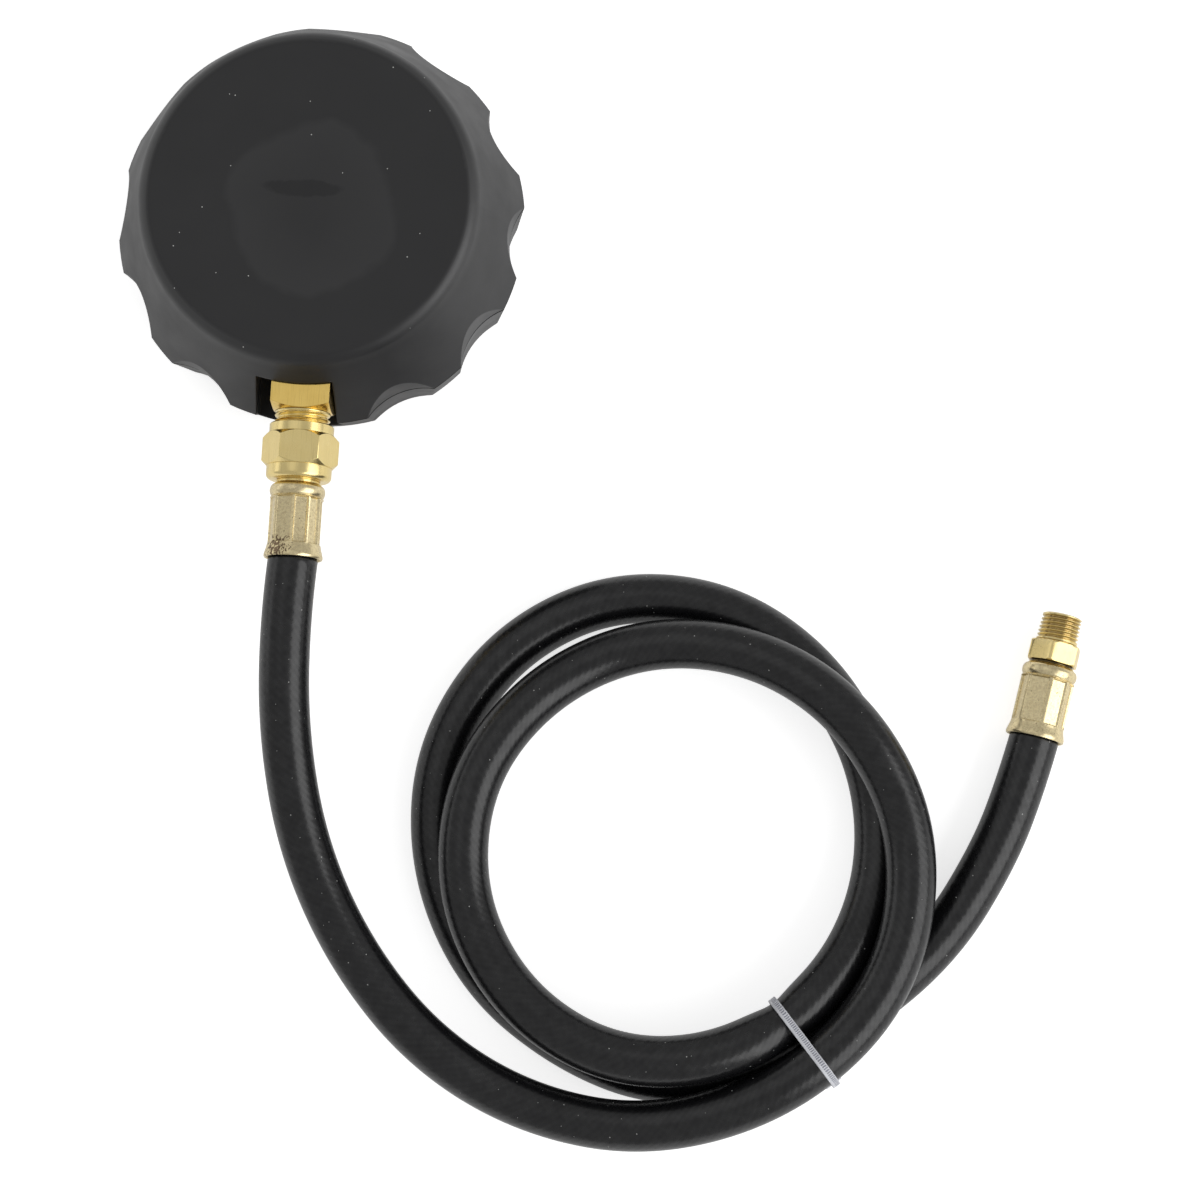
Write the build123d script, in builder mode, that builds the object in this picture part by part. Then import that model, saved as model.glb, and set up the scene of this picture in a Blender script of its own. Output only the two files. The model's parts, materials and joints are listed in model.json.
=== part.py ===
from build123d import *
import os
from math import acos, cos, degrees, hypot, pi, radians, sin, tan

os.makedirs("parts", exist_ok=True)

# An engine oil pressure tester, resting as it is put away: the gauge lies face down in
# its rubber boot, and the hose lies beside it in two loose turns held by a tie.
# The gauge's axis is Z, its face is at z = 0, and its stem points along -Y.

# Rubber boot
boot_depth = 43.0
boot_side_wall = 4.0
front_flare = 6.9
rim_flare = 9.9
rim_height = 18.0
back_fillet = 3.5
boot_back_wall = 2.0
lip_depth = 3.0
lip_clearance = 0.3
boot_twist = -2.9
bite_count = 12
bite_radius = 16.0
bite_depth = 3.3
bite_draft = 2.0
slot_low = 9.0
slot_room_above = 0.7
slot_room_right = 0.19
slot_room_left = (1.5, 4.2)

# Fits between pieces
seat_gap = 0.1
running_gap = 0.05

# Gauge case and window
bezel_wall = 0.8
bezel_reach = 2.4
bezel_lip = 3.8
lens_thickness = 2.0
gasket_thickness = 1.5
gasket_width = 2.4
case_radius = 34.6
case_wall = 0.9
case_corner = 3.0
screw_head_height = 1.2
screw_share = 0.6015

# Socket, the brass block that carries the stem, the tube and the movement
stem_z = 26.5
stem_radius = 6.5
stem_length = 11.8
block_margin = 0.3
block_inner = 16.0
block_setback = 0.9
block_cone = 3.3
relief_depth = 0.8
relief_length = 3.6
stem_bore_radius = 1.75
pad_half_width = 6.0

# Pressure tube
tube_radius = 25.4
tube_thickness = 3.0
tube_height = 11.5
tube_wall = 0.5
tube_foot_angle = -92.0
tube_tip_angle = 195.0

# Levels of the movement, counted from the gauge's face
spindle_front = 7.0
pointer_z = 8.0
dial_z = 9.6
dial_thickness = 0.5
front_plate_z = 11.4
plate_thickness = 1.0
back_plate_z = 16.8
back_plate_thickness = 1.2

# Movement
dial_room = 0.7
dial_hole_radius = 2.5
gear_module = 0.3
pinion_teeth = 12
gear_ratio = 9
gear_backlash = 0.12
sector_turn = 30.0
sector_margin = 6.0
sector_bearing = -118.3
tail_length = 7.6
tail_rest_angle = 218.6
sector_z = 13.4
sector_thickness = 1.0
link_thickness = 0.7
tip_pin = (-20.5, -6.8)
shaft_radius = 0.75
screw_radius = 0.6
open_pivot_gap = 0.4
spring_start = 1.75
spring_step = 0.6
spring_half_turns = 8
spring_strip = 0.15
spring_height = 0.5
spring_z = 15.3
pointer_length = 26.0
pointer_tail = 9.0
pointer_rest_angle = -45.0

# Swivel nut
nut_setback = 3.0
nut_collar_length = 2.3
nut_collar_wall = 0.95
nut_hex_length = 7.6
nut_hex_rise = 0.25
nut_turn = 5.5
nut_skirt_length = 3.25
nut_skirt_rise = 0.1
washer_thickness = 1.2
flange_clearance = 0.35
flange_thickness = 1.8

# Crimped ferrules, the same at both ends of the hose
ferrule_length = 17.8
ferrule_neck_wall = 0.4
ferrule_bulge_wall = 0.95
ferrule_body_wall = 0.8
ferrule_flat_wall = 0.45
ferrule_mouth_wall = 1.35
ferrule_flats = 8
ferrule_lip = 1.2
lead_crimp_turn = 21.5
tail_crimp_turn = 19.9
neck_gap = 0.5
neck_clearance = 0.6
barb_radius = 2.5
barb_count = 4

# End fitting with a tapered pipe thread, drawn at its full diameter
tail_hex_flats = 11.1
tail_hex_length = 4.9
tail_hex_turn = 18.0
tail_gap = 0.2
tail_thread_radius = 4.95
tail_thread_length = 6.2
tail_undercut = 0.7
tail_bore_radius = 1.6
tail_direction = (0.1925, 0.9813, 0)

# Hose
hose_diameter = 11.6
crimp_squeeze = 0.35
hose_route = [
    (0, -82.05, stem_z),
    (-0.9, -95.5, stem_z),
    (0.1, -121.5, 24),
    (6.1, -148.1, 21),
    (18.5, -171.9, 19),
    (36.9, -192.1, 18),
    (60.4, -204.8, 13),
    (87.5, -208.5, 13),
    (115, -200, 17.5),
    (136.2, -182.2, 19.5),
    (146.4, -159.4, 18.6),
    (145.2, -132.7, 17),
    (130.6, -109.9, 20.3),
    (108, -96.4, 16.5),
    (81.5, -95.0, 12),
    (58, -107.4, 13),
    (43, -129.8, 17),
    (42.4, -157.6, 17),
    (56.5, -180.9, 18),
    (80.5, -193.5, 18.5),
    (107.5, -190.2, 19.5),
    (129.5, -173, 14.8),
    (140, -147.9, 7.5),
    (137.2, -120.6, 5.9),
    (122.2, -97.8, 5.9),
    (98.5, -84.1, 5.9),
    (71, -84.3, 5.9),
    (47.5, -98.9, 5.9),
    (34.3, -123.4, 5.9),
    (35.1, -151, 5.9),
    (47.6, -175.2, 5.9),
    (68.2, -190.2, 5.9),
    (90.2, -197.4, 6.2),
    (113, -193, 7.9),
    (134, -180, 6.8),
    (153.7, -162.2, 5.9),
    (165.8, -140.4, 6.2),
    (171.5, -123.3, 6.9),
    (174.05, -113.0, 6.9),
]
tied_runs = (8, 20, 33)

# Cable tie
tie_width = 1.9
tie_thickness = 0.9
tie_gap = 0.25
tie_head = (5.0, 4.4, 4.6)


# Levels and radii that follow from the values above
back_radius = case_radius + boot_side_wall
front_radius = back_radius + front_flare
rim_radius = back_radius + rim_flare
bite_floor = rim_radius - bite_depth
bezel_radius = case_radius + bezel_reach
bezel_lip_radius = bezel_radius - bezel_lip
lip_radius = bezel_lip_radius + lip_clearance
dial_radius = case_radius - case_wall - dial_room
block_width = 2 * (stem_radius + block_margin)
block_outer = rim_radius - block_setback
relief_radius = stem_radius - relief_depth
stem_end = block_outer + stem_length
slot_right = block_width / 2 + slot_room_right + block_outer * sin(radians(-boot_twist))
nut_start = block_outer + nut_setback
nut_collar_radius = stem_radius + running_gap + nut_collar_wall
nut_hex_flats = 2 * (nut_collar_radius + nut_hex_rise)
nut_skirt_radius = nut_collar_radius + nut_skirt_rise
flange_radius = stem_radius + running_gap - flange_clearance
squeezed_radius = hose_diameter / 2 - crimp_squeeze
ferrule_bore_radius = squeezed_radius + running_gap
ferrule_neck_radius = ferrule_bore_radius + ferrule_neck_wall
ferrule_bulge_radius = ferrule_bore_radius + ferrule_bulge_wall
ferrule_body_radius = ferrule_bore_radius + ferrule_body_wall
ferrule_flat_radius = ferrule_bore_radius + ferrule_flat_wall
ferrule_mouth_radius = ferrule_bore_radius + ferrule_mouth_wall
neck_radius = ferrule_bore_radius - neck_clearance
lens_z = lip_depth + bezel_wall
gasket_z = lens_z + lens_thickness
flange_z = gasket_z + gasket_thickness
bezel_back = flange_z + case_wall + bezel_wall
case_back = boot_depth - boot_back_wall - screw_head_height
case_rim_radius = bezel_radius - bezel_wall - seat_gap
# the case's screws take up a share of the room behind the tube
case_screw_depth = screw_share * (case_back - case_wall - stem_z - tube_height / 2)
block_front = stem_z - block_width / 2
block_back = stem_z + block_width / 2
plate_seat = back_plate_z + back_plate_thickness
pinion_pitch = gear_module * pinion_teeth / 2
sector_pitch = pinion_pitch * gear_ratio
pivot_x = (pinion_pitch + sector_pitch) * cos(radians(sector_bearing))
pivot_y = (pinion_pitch + sector_pitch) * sin(radians(sector_bearing))
link_z = sector_z + sector_thickness + seat_gap
ear_z = link_z + link_thickness + 0.2
flange_start = stem_end + washer_thickness
nut_end = nut_start + nut_collar_length + nut_hex_length + nut_skirt_length
neck_end = nut_end + neck_gap
pillar_places = [(7.5, 5.5), (-9.0, 6.0), (1.5, -23.0)]
dial_foot_places = [(9.8, -3.0), (-9.5, -4.0)]
movement_screw_places = [(-3.2, -20.5), (4.6, -18.5)]
case_screw_places = [(-3.2, -23.0), (3.2, -23.0)]

# The fittings' own planes: z runs out of the ferrule's mouth towards the metal end
lead_mouth = Plane(origin=(0, -neck_end - ferrule_length, stem_z), x_dir=(1, 0, 0), z_dir=(0, 1, 0))
tail_mouth = Plane(
    origin=hose_route[-1],
    x_dir=(tail_direction[1], -tail_direction[0], 0),
    z_dir=tail_direction,
)
hose_route[0] = (0, -neck_end - ferrule_length, stem_z)


def save(piece, name):
    piece.part.label = name
    export_step(piece.part, f"parts/{name}.step")


def lengthwise(plane):
    """A plane through a fitting's axis: its x runs along the axis, and its y is a radius."""
    return Plane(origin=plane.origin, x_dir=plane.z_dir, z_dir=plane.x_dir)


def polar(radius, angle):
    return (radius * cos(radians(angle)), radius * sin(radians(angle)))


# Boot: a flared cup with finger bites round its widest edge, and a window for the stem
with BuildPart() as boot:
    with BuildSketch(Plane.XZ):
        with BuildLine():
            Polyline(
                (0, 0),
                (front_radius, 0),
                (rim_radius, rim_height),
                (back_radius, boot_depth),
                (0, boot_depth),
                close=True,
            )
        make_face()
    revolve(axis=Axis.Z)
    fillet(boot.edges().group_by(Axis.Z)[-1], back_fillet)
    fillet(boot.edges().group_by(Axis.Z)[0], 1.0)
    # one place in twelve, over the stem's window, keeps the round rim
    bite_angles = [boot_twist - 90 + i * 360 / bite_count for i in range(1, bite_count)]
    bite_places = [polar(bite_floor + bite_radius, a) for a in bite_angles]
    with BuildSketch(Plane.XY.offset(rim_height)):
        with Locations(*bite_places):
            Circle(bite_radius)
    extrude(amount=boot_depth - rim_height, mode=Mode.SUBTRACT)
    # below the rim's parting line each bite's wall leans in towards the face
    for place in bite_places:
        with BuildSketch(Plane((*place, rim_height))):
            Circle(bite_radius)
        with BuildSketch(Plane((*place, 0))):
            Circle(bite_radius + bite_draft)
        loft(mode=Mode.SUBTRACT)
    # the hollow that holds the gauge, and the opening over its window
    with BuildSketch():
        Circle(lip_radius)
    extrude(amount=lip_depth, mode=Mode.SUBTRACT)
    with BuildSketch(Plane.XY.offset(lip_depth)):
        Circle(bezel_radius + seat_gap)
    extrude(amount=bezel_back - lip_depth, mode=Mode.SUBTRACT)
    with BuildSketch(Plane.XY.offset(bezel_back)):
        Circle(case_radius + seat_gap)
    extrude(amount=boot_depth - boot_back_wall - bezel_back, mode=Mode.SUBTRACT)
    # the stem's window, whose left side leans
    with BuildSketch(Plane.XZ.rotated((0, 0, boot_twist)).offset(case_radius - 6)):
        with BuildLine():
            Polyline(
                (-block_width / 2 - slot_room_left[1], slot_low),
                (slot_right, slot_low),
                (slot_right, block_back + slot_room_above),
                (-block_width / 2 - slot_room_left[0], block_back + slot_room_above),
                close=True,
            )
        make_face()
    extrude(amount=rim_radius - case_radius + 8, mode=Mode.SUBTRACT)
save(boot, "boot")

# Case: a drawn steel cup with a flat rim under the window
with BuildPart() as case:
    with BuildSketch(Plane.XY.offset(flange_z)):
        Circle(case_rim_radius)
    extrude(amount=case_wall)
    with BuildSketch(Plane.XY.offset(flange_z)):
        Circle(case_radius)
    extrude(amount=case_back - flange_z)
    fillet(case.edges().group_by(Axis.Z)[-1], case_corner)
    with BuildSketch(Plane.XY.offset(flange_z)):
        Circle(case_radius - case_wall)
    extrude(amount=case_back - case_wall - flange_z, mode=Mode.SUBTRACT)
    with BuildSketch(Plane.XZ.offset(case_radius - 3 * case_wall)):
        with Locations((0, stem_z)):
            Rectangle(block_width + 2 * seat_gap, block_width + 2 * seat_gap)
    extrude(amount=4 * case_wall, mode=Mode.SUBTRACT)
    with BuildSketch(Plane.XY.offset(case_back)):
        with Locations(*case_screw_places):
            Circle(1.6)
    extrude(amount=-2 * case_wall, mode=Mode.SUBTRACT)
save(case, "case")

# Bezel: a rolled steel ring that clamps window, gasket and case rim together
with BuildPart() as bezel:
    with BuildSketch(Plane.XZ):
        with BuildLine():
            Polyline(
                (bezel_lip_radius, lip_depth),
                (bezel_radius, lip_depth),
                (bezel_radius, bezel_back),
                (case_radius + 2 * seat_gap, bezel_back),
                (case_radius + 2 * seat_gap, bezel_back - bezel_wall),
                (bezel_radius - bezel_wall, bezel_back - bezel_wall),
                (bezel_radius - bezel_wall, lens_z),
                (bezel_lip_radius, lens_z),
                close=True,
            )
        make_face()
    revolve(axis=Axis.Z)
save(bezel, "bezel")

with BuildPart() as lens:
    with BuildSketch(Plane.XY.offset(lens_z)):
        Circle(case_rim_radius - seat_gap)
    extrude(amount=lens_thickness)
save(lens, "lens")

with BuildPart() as window_gasket:
    with BuildSketch(Plane.XY.offset(gasket_z)):
        Circle(case_rim_radius - seat_gap)
        Circle(case_rim_radius - seat_gap - gasket_width, mode=Mode.SUBTRACT)
    extrude(amount=gasket_thickness)
save(window_gasket, "window_gasket")

# Dial, with its two feet's screws and the stop that the pointer rests on
with BuildPart() as dial:
    with BuildSketch(Plane.XY.offset(dial_z)):
        Circle(dial_radius)
        Circle(dial_hole_radius, mode=Mode.SUBTRACT)
        with Locations(*dial_foot_places):
            Circle(screw_radius + seat_gap, mode=Mode.SUBTRACT)
        with Locations(polar(17, pointer_rest_angle - 4)):
            Circle(0.4, mode=Mode.SUBTRACT)
    extrude(amount=dial_thickness)
save(dial, "dial")

with BuildPart() as dial_screws:
    with BuildSketch(Plane.XY.offset(dial_z)):
        with Locations(*dial_foot_places):
            Circle(1.3)
    extrude(amount=-0.7)
    with BuildSketch(Plane.XY.offset(dial_z)):
        with Locations(*dial_foot_places):
            Circle(screw_radius)
    extrude(amount=front_plate_z + plate_thickness - dial_z)
save(dial_screws, "dial_screws")

with BuildPart() as stop_pin:
    with BuildSketch(Plane.XY.offset(pointer_z - 0.3)):
        with Locations(polar(17, pointer_rest_angle - 4)):
            Circle(0.4)
    extrude(amount=dial_z + dial_thickness - pointer_z + 0.3)
save(stop_pin, "stop_pin")

# Pointer: a tapered blade with a round counterweight on a pressed bush
with BuildPart() as pointer:
    with BuildSketch(Plane.XY.offset(pointer_z - 0.6)):
        Circle(1.6)
    extrude(amount=2.2)
    with BuildSketch(Plane.XY.offset(pointer_z).rotated((0, 0, pointer_rest_angle))):
        with BuildLine():
            Polyline(
                (-pointer_tail, -0.5),
                (0, -1.1),
                (pointer_length, -0.2),
                (pointer_length, 0.2),
                (0, 1.1),
                (-pointer_tail, 0.5),
                close=True,
            )
        make_face()
        with Locations((-pointer_tail, 0)):
            Circle(2.2)
    extrude(amount=0.4)
    with BuildSketch(Plane.XY.offset(pointer_z - 0.6)):
        Circle(shaft_radius + 0.02)
    extrude(amount=2.2, mode=Mode.SUBTRACT)
save(pointer, "pointer")


# Gear teeth: straight-flanked, thinned by the backlash, with tips on the gear's own face
def tooth(pitch_radius, angle):
    """One tooth's face, centred on a bearing, with its root sunk in the gear's rim."""
    half = (pi * gear_module / 2 - gear_backlash) / 2
    tip = pitch_radius + 0.95 * gear_module
    root = pitch_radius - 1.35 * gear_module
    flank = tan(radians(20)) * gear_module
    with BuildSketch(Plane.XY.rotated((0, 0, angle)), mode=Mode.PRIVATE) as face:
        with BuildLine():
            Polyline(
                (root, -half - 1.2 * flank),
                (pitch_radius, -half),
                (tip, -half + 0.95 * flank),
                (tip, half - 0.95 * flank),
                (pitch_radius, half),
                (root, half + 1.2 * flank),
                close=True,
            )
        make_face()
    return face.sketch


with BuildPart() as pinion_spindle:
    with BuildSketch(Plane.XY.offset(spindle_front)):
        Circle(shaft_radius)
    extrude(amount=plate_seat + 0.3 - spindle_front)
    with BuildSketch(Plane.XY.offset(front_plate_z + plate_thickness + 0.4)):
        Circle(pinion_pitch - 1.3 * gear_module)
        for i in range(pinion_teeth):
            # a tooth gap faces the sector's middle tooth
            add(tooth(pinion_pitch, sector_bearing + (i + 0.5) * 360 / pinion_teeth))
    extrude(amount=2.2)
    # the collet that grips the hairspring
    with BuildSketch(Plane.XY.offset(spring_z - 0.2)):
        Circle(spring_start - spring_strip / 2)
    extrude(amount=spring_height + 0.4)
save(pinion_spindle, "pinion_spindle")

# Sector gear: a toothed arc, two arms, a hub and a tail with the link's hole
tooth_step = 360 / (pinion_teeth * gear_ratio)
mesh_bearing = sector_bearing + 180
teeth_before = round(sector_margin / tooth_step)
teeth_after = round((sector_turn + sector_margin) / tooth_step)
arc_low = mesh_bearing - (teeth_before + 0.6) * tooth_step
arc_high = mesh_bearing + (teeth_after + 0.6) * tooth_step
rim_outer = sector_pitch - 1.3 * gear_module
rim_inner = sector_pitch - 3.2
with BuildPart() as sector_gear:
    with BuildSketch(Plane((pivot_x, pivot_y, sector_z))):
        # the toothed arc and its two arms, with an open space between them
        with BuildLine():
            start = polar(rim_outer, arc_low)
            end = polar(rim_outer, arc_high)
            ThreePointArc(start, polar(rim_outer, (arc_low + arc_high) / 2), end)
            Polyline(end, (0, 0), start)
        make_face()
        with BuildLine():
            start = polar(rim_inner, arc_low + 9)
            end = polar(rim_inner, arc_high - 9)
            ThreePointArc(start, polar(rim_inner, (arc_low + arc_high) / 2), end)
            Polyline(end, polar(5.0, (arc_low + arc_high) / 2), start)
        make_face(mode=Mode.SUBTRACT)
        for i in range(-teeth_before, teeth_after + 1):
            add(tooth(sector_pitch, mesh_bearing + i * tooth_step))
        # the hub and the tail that the link pulls
        Circle(2.6)
        with BuildLine():
            Polyline(
                polar(2.2, tail_rest_angle - 90),
                polar(2.2, tail_rest_angle + 90),
                polar(tail_length, tail_rest_angle + 12),
                polar(tail_length, tail_rest_angle - 12),
                close=True,
            )
        make_face()
        with Locations(polar(tail_length, tail_rest_angle)):
            Circle(1.6)
            Circle(screw_radius + running_gap, mode=Mode.SUBTRACT)
        Circle(shaft_radius + 0.25, mode=Mode.SUBTRACT)
    extrude(amount=sector_thickness)
save(sector_gear, "sector_gear")

with BuildPart() as sector_arbor:
    with BuildSketch(Plane.XY.offset(front_plate_z - 0.2)):
        with Locations((pivot_x, pivot_y)):
            Circle(shaft_radius)
    extrude(amount=plate_seat + 0.2 - front_plate_z + 0.2)
    with BuildSketch(Plane.XY.offset(front_plate_z + plate_thickness + 0.1)):
        with Locations((pivot_x, pivot_y)):
            Circle(1.5)
    extrude(amount=sector_z - front_plate_z - plate_thickness - 0.1)
    with BuildSketch(Plane.XY.offset(sector_z)):
        with Locations((pivot_x, pivot_y)):
            Circle(shaft_radius + 0.22)
    extrude(amount=back_plate_z - 0.1 - sector_z)
save(sector_arbor, "sector_arbor")

# Movement plates, pillars and screws
with BuildPart() as movement_front_plate:
    with BuildSketch(Plane.XY.offset(front_plate_z)):
        with Locations(*pillar_places, *dial_foot_places, (pivot_x, pivot_y)):
            Circle(2.6)
        make_hull()
    extrude(amount=plate_thickness)
    with BuildSketch(Plane.XY.offset(dial_z + dial_thickness)):
        with Locations(*dial_foot_places):
            Circle(1.8)
    extrude(amount=front_plate_z - dial_z - dial_thickness)
    with BuildSketch(Plane.XY.offset(dial_z)):
        Circle(shaft_radius + running_gap)
        with Locations((pivot_x, pivot_y)):
            Circle(shaft_radius + running_gap)
        with Locations(*pillar_places):
            Circle(0.85)
        with Locations(*dial_foot_places):
            Circle(screw_radius + 0.02)
    extrude(amount=front_plate_z + plate_thickness - dial_z, mode=Mode.SUBTRACT)
save(movement_front_plate, "movement_front_plate")

spring_end = spring_start + spring_half_turns * spring_step
with BuildPart() as movement_back_plate:
    with BuildSketch(Plane.XY.offset(back_plate_z)):
        with Locations(*pillar_places, *movement_screw_places, (pivot_x, pivot_y)):
            Circle(2.6)
        make_hull()
        Circle(shaft_radius + running_gap, mode=Mode.SUBTRACT)
        with Locations((pivot_x, pivot_y)):
            Circle(shaft_radius + running_gap, mode=Mode.SUBTRACT)
        with Locations(*pillar_places):
            Circle(0.85, mode=Mode.SUBTRACT)
        with Locations(*movement_screw_places):
            Circle(1.05, mode=Mode.SUBTRACT)
    extrude(amount=back_plate_thickness)
    # the stud that holds the hairspring's outer end
    with BuildSketch(Plane.XY.offset(spring_z - 0.2)):
        with Locations((spring_end, 0.62)):
            Circle(0.6)
    extrude(amount=back_plate_z - spring_z + 0.2)
save(movement_back_plate, "movement_back_plate")

with BuildPart() as movement_pillars:
    with BuildSketch(Plane.XY.offset(front_plate_z + plate_thickness)):
        with Locations(*pillar_places):
            Circle(1.3)
    extrude(amount=back_plate_z - front_plate_z - plate_thickness)
    with BuildSketch(Plane.XY.offset(front_plate_z)):
        with Locations(*pillar_places):
            Circle(0.8)
    extrude(amount=plate_seat - front_plate_z)
    # riveted heads on the front plate
    with BuildSketch(Plane.XY.offset(front_plate_z)):
        with Locations(*pillar_places):
            Circle(1.3)
    extrude(amount=-0.6)
save(movement_pillars, "movement_pillars")

with BuildPart() as movement_screws:
    with BuildSketch(Plane.XY.offset(back_plate_z)):
        with Locations(*movement_screw_places):
            Circle(1.7)
    extrude(amount=-0.8)
    with BuildSketch(Plane.XY.offset(back_plate_z)):
        with Locations(*movement_screw_places):
            Circle(1.0)
    extrude(amount=plate_seat + 4.0 - back_plate_z)
save(movement_screws, "movement_screws")

# Hairspring: a flat strip wound in half turns, each one step wider than the last
with BuildPart() as hairspring:
    with BuildSketch(Plane.XY.offset(spring_z)):
        with BuildLine():
            for side in (-1, 1):
                shift = side * spring_strip / 2
                for k in range(spring_half_turns):
                    radius = spring_start + k * spring_step + shift
                    centre = 0 if k % 2 == 0 else spring_step
                    first = 0 if k % 2 == 0 else 180
                    CenterArc((centre, 0), radius, first, 180)
            Line(
                (spring_start - spring_strip / 2, 0),
                (spring_start + spring_strip / 2, 0),
            )
            Line(
                (spring_end - spring_strip / 2, 0),
                (spring_end + spring_strip / 2, 0),
            )
        make_face()
    extrude(amount=spring_height)
save(hairspring, "hairspring")

# Link from the sector's tail to the tube's tip
tail_x = pivot_x + polar(tail_length, tail_rest_angle)[0]
tail_y = pivot_y + polar(tail_length, tail_rest_angle)[1]
with BuildPart() as link:
    with BuildSketch(Plane.XY.offset(link_z)):
        with Locations((tail_x, tail_y)):
            Circle(1.5)
        with Locations(tip_pin):
            Circle(1.9)
        make_hull()
        with Locations((tail_x, tail_y)):
            Circle(screw_radius + running_gap, mode=Mode.SUBTRACT)
        with Locations(tip_pin):
            Circle(screw_radius + open_pivot_gap, mode=Mode.SUBTRACT)
    extrude(amount=link_thickness)
save(link, "link")

with BuildPart() as sector_link_screw:
    with BuildSketch(Plane.XY.offset(link_z + link_thickness + 0.1)):
        with Locations((tail_x, tail_y)):
            Circle(1.2)
    extrude(amount=0.6)
    with BuildSketch(Plane.XY.offset(sector_z - 0.4)):
        with Locations((tail_x, tail_y)):
            Circle(screw_radius)
    extrude(amount=link_z + link_thickness + 0.1 - sector_z + 0.4)
save(sector_link_screw, "sector_link_screw")

with BuildPart() as tip_link_screw:
    with BuildSketch(Plane.XY.offset(link_z - 0.2)):
        with Locations(tip_pin):
            Circle(1.5)
    extrude(amount=-0.6)
    with BuildSketch(Plane.XY.offset(link_z - 0.2)):
        with Locations(tip_pin):
            Circle(screw_radius)
    extrude(amount=ear_z + 1.3 - link_z)
save(tip_link_screw, "tip_link_screw")


# Pressure tube: a flattened tube bent round the movement, closed by its tip
tube_foot = Plane.XZ.rotated((0, 0, tube_foot_angle))
with BuildPart() as bourdon_tube:
    with BuildSketch(tube_foot):
        with Locations((tube_radius, stem_z)):
            SlotCenterToCenter(tube_height - tube_thickness, tube_thickness, rotation=90)
            Rectangle(
                tube_thickness - 2 * tube_wall,
                tube_height - tube_thickness,
                mode=Mode.SUBTRACT,
            )
    revolve(axis=Axis.Z, revolution_arc=tube_tip_angle - tube_foot_angle)
save(bourdon_tube, "bourdon_tube")

tip_plane = Plane.XY.rotated((0, 0, tube_tip_angle))
with BuildPart() as tube_tip:
    # the cap on the tube's end
    with BuildSketch(tip_plane.offset(ear_z)):
        with Locations((tube_radius, 1.6)):
            Rectangle(tube_thickness + 0.4, 3.0)
    extrude(amount=stem_z + tube_height / 2 - ear_z)
    # the ear that reaches in over the link
    with BuildSketch(Plane.XY.offset(ear_z)):
        with Locations(tip_pin):
            Circle(1.6)
        cap_x, cap_y = polar(hypot(tube_radius, 1.6), tube_tip_angle + degrees(1.6 / tube_radius))
        with Locations((cap_x, cap_y)):
            Circle(1.4)
        make_hull()
        with Locations(tip_pin):
            Circle(screw_radius + 0.02, mode=Mode.SUBTRACT)
    extrude(amount=1.0)
save(tube_tip, "tube_tip")

# Socket: one brass block from the tube's foot out through the case to the stem's thread
with BuildPart() as socket:
    with BuildSketch(Plane.XZ.offset(block_inner)):
        with Locations((0, stem_z)):
            Rectangle(block_width, block_width)
    extrude(amount=block_outer - block_inner)
    # the block's outer corners are turned to a cone
    with BuildSketch(Plane.YZ):
        with BuildLine():
            Polyline(
                (-block_outer, stem_z + stem_radius),
                (-block_outer, stem_z + block_width),
                (-block_outer + block_cone, stem_z + block_width),
                close=True,
            )
        make_face()
    revolve(axis=Axis((0, 0, stem_z), (0, -1, 0)), mode=Mode.SUBTRACT)
    with BuildSketch(Plane.XZ.offset(block_outer)):
        with Locations((0, stem_z)):
            Circle(relief_radius)
    extrude(amount=relief_length + 1.0)
    with BuildSketch(Plane.XZ.offset(block_outer + relief_length + 0.6)):
        with Locations((0, stem_z)):
            Circle(stem_radius)
    extrude(amount=stem_end - block_outer - relief_length - 0.6)
    chamfer(socket.edges().group_by(Axis.Y)[0], 0.6)
    # pads that seat on the movement and on the case's back
    with BuildSketch(Plane.XY.offset(plate_seat)):
        with Locations((0, -21.0)):
            Rectangle(2 * pad_half_width, 9.0)
    extrude(amount=block_front - plate_seat + 0.5)
    with BuildSketch(Plane.XY.offset(block_back - 0.5)):
        with Locations((0, -23.0)):
            Rectangle(2 * pad_half_width, 9.0)
    extrude(amount=case_back - case_wall - block_back + 0.5)
    # the oil way, the tube's seat and the screws' holes
    with BuildSketch(Plane.XZ.offset(tube_radius)):
        with Locations((0, stem_z)):
            Circle(stem_bore_radius)
    extrude(amount=stem_end - tube_radius, mode=Mode.SUBTRACT)
    seat_half = tube_thickness / 2 + seat_gap
    with BuildSketch(Plane.XZ.rotated((0, 0, tube_foot_angle - 1))):
        with Locations((tube_radius, stem_z)):
            Rectangle(2 * seat_half, tube_height + 2 * seat_gap)
    revolve(axis=Axis.Z, revolution_arc=25, mode=Mode.SUBTRACT)
    with BuildSketch(Plane.XY.offset(plate_seat)):
        with Locations(*movement_screw_places):
            Circle(1.02)
    extrude(amount=4.2, mode=Mode.SUBTRACT)
    with BuildSketch(Plane.XY.offset(case_back - case_wall)):
        with Locations(*case_screw_places):
            Circle(1.52)
    extrude(amount=-case_screw_depth - 0.2, mode=Mode.SUBTRACT)
save(socket, "socket")

with BuildPart() as case_screws:
    with BuildSketch(Plane.XY.offset(case_back)):
        with Locations(*case_screw_places):
            Circle(2.6)
    extrude(amount=screw_head_height)
    with BuildSketch(Plane.XY.offset(case_back)):
        with Locations(*case_screw_places):
            Circle(1.5)
    extrude(amount=-case_wall - case_screw_depth)
save(case_screws, "case_screws")


# Hose couplings
lead_axis = Axis((0, 0, stem_z), (0, -1, 0))
with BuildPart() as seat_washer:
    with BuildSketch(Plane.XZ.offset(stem_end)):
        with Locations((0, stem_z)):
            Circle(flange_radius)
            Circle(stem_bore_radius + 0.8, mode=Mode.SUBTRACT)
    extrude(amount=washer_thickness)
save(seat_washer, "seat_washer")

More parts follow.
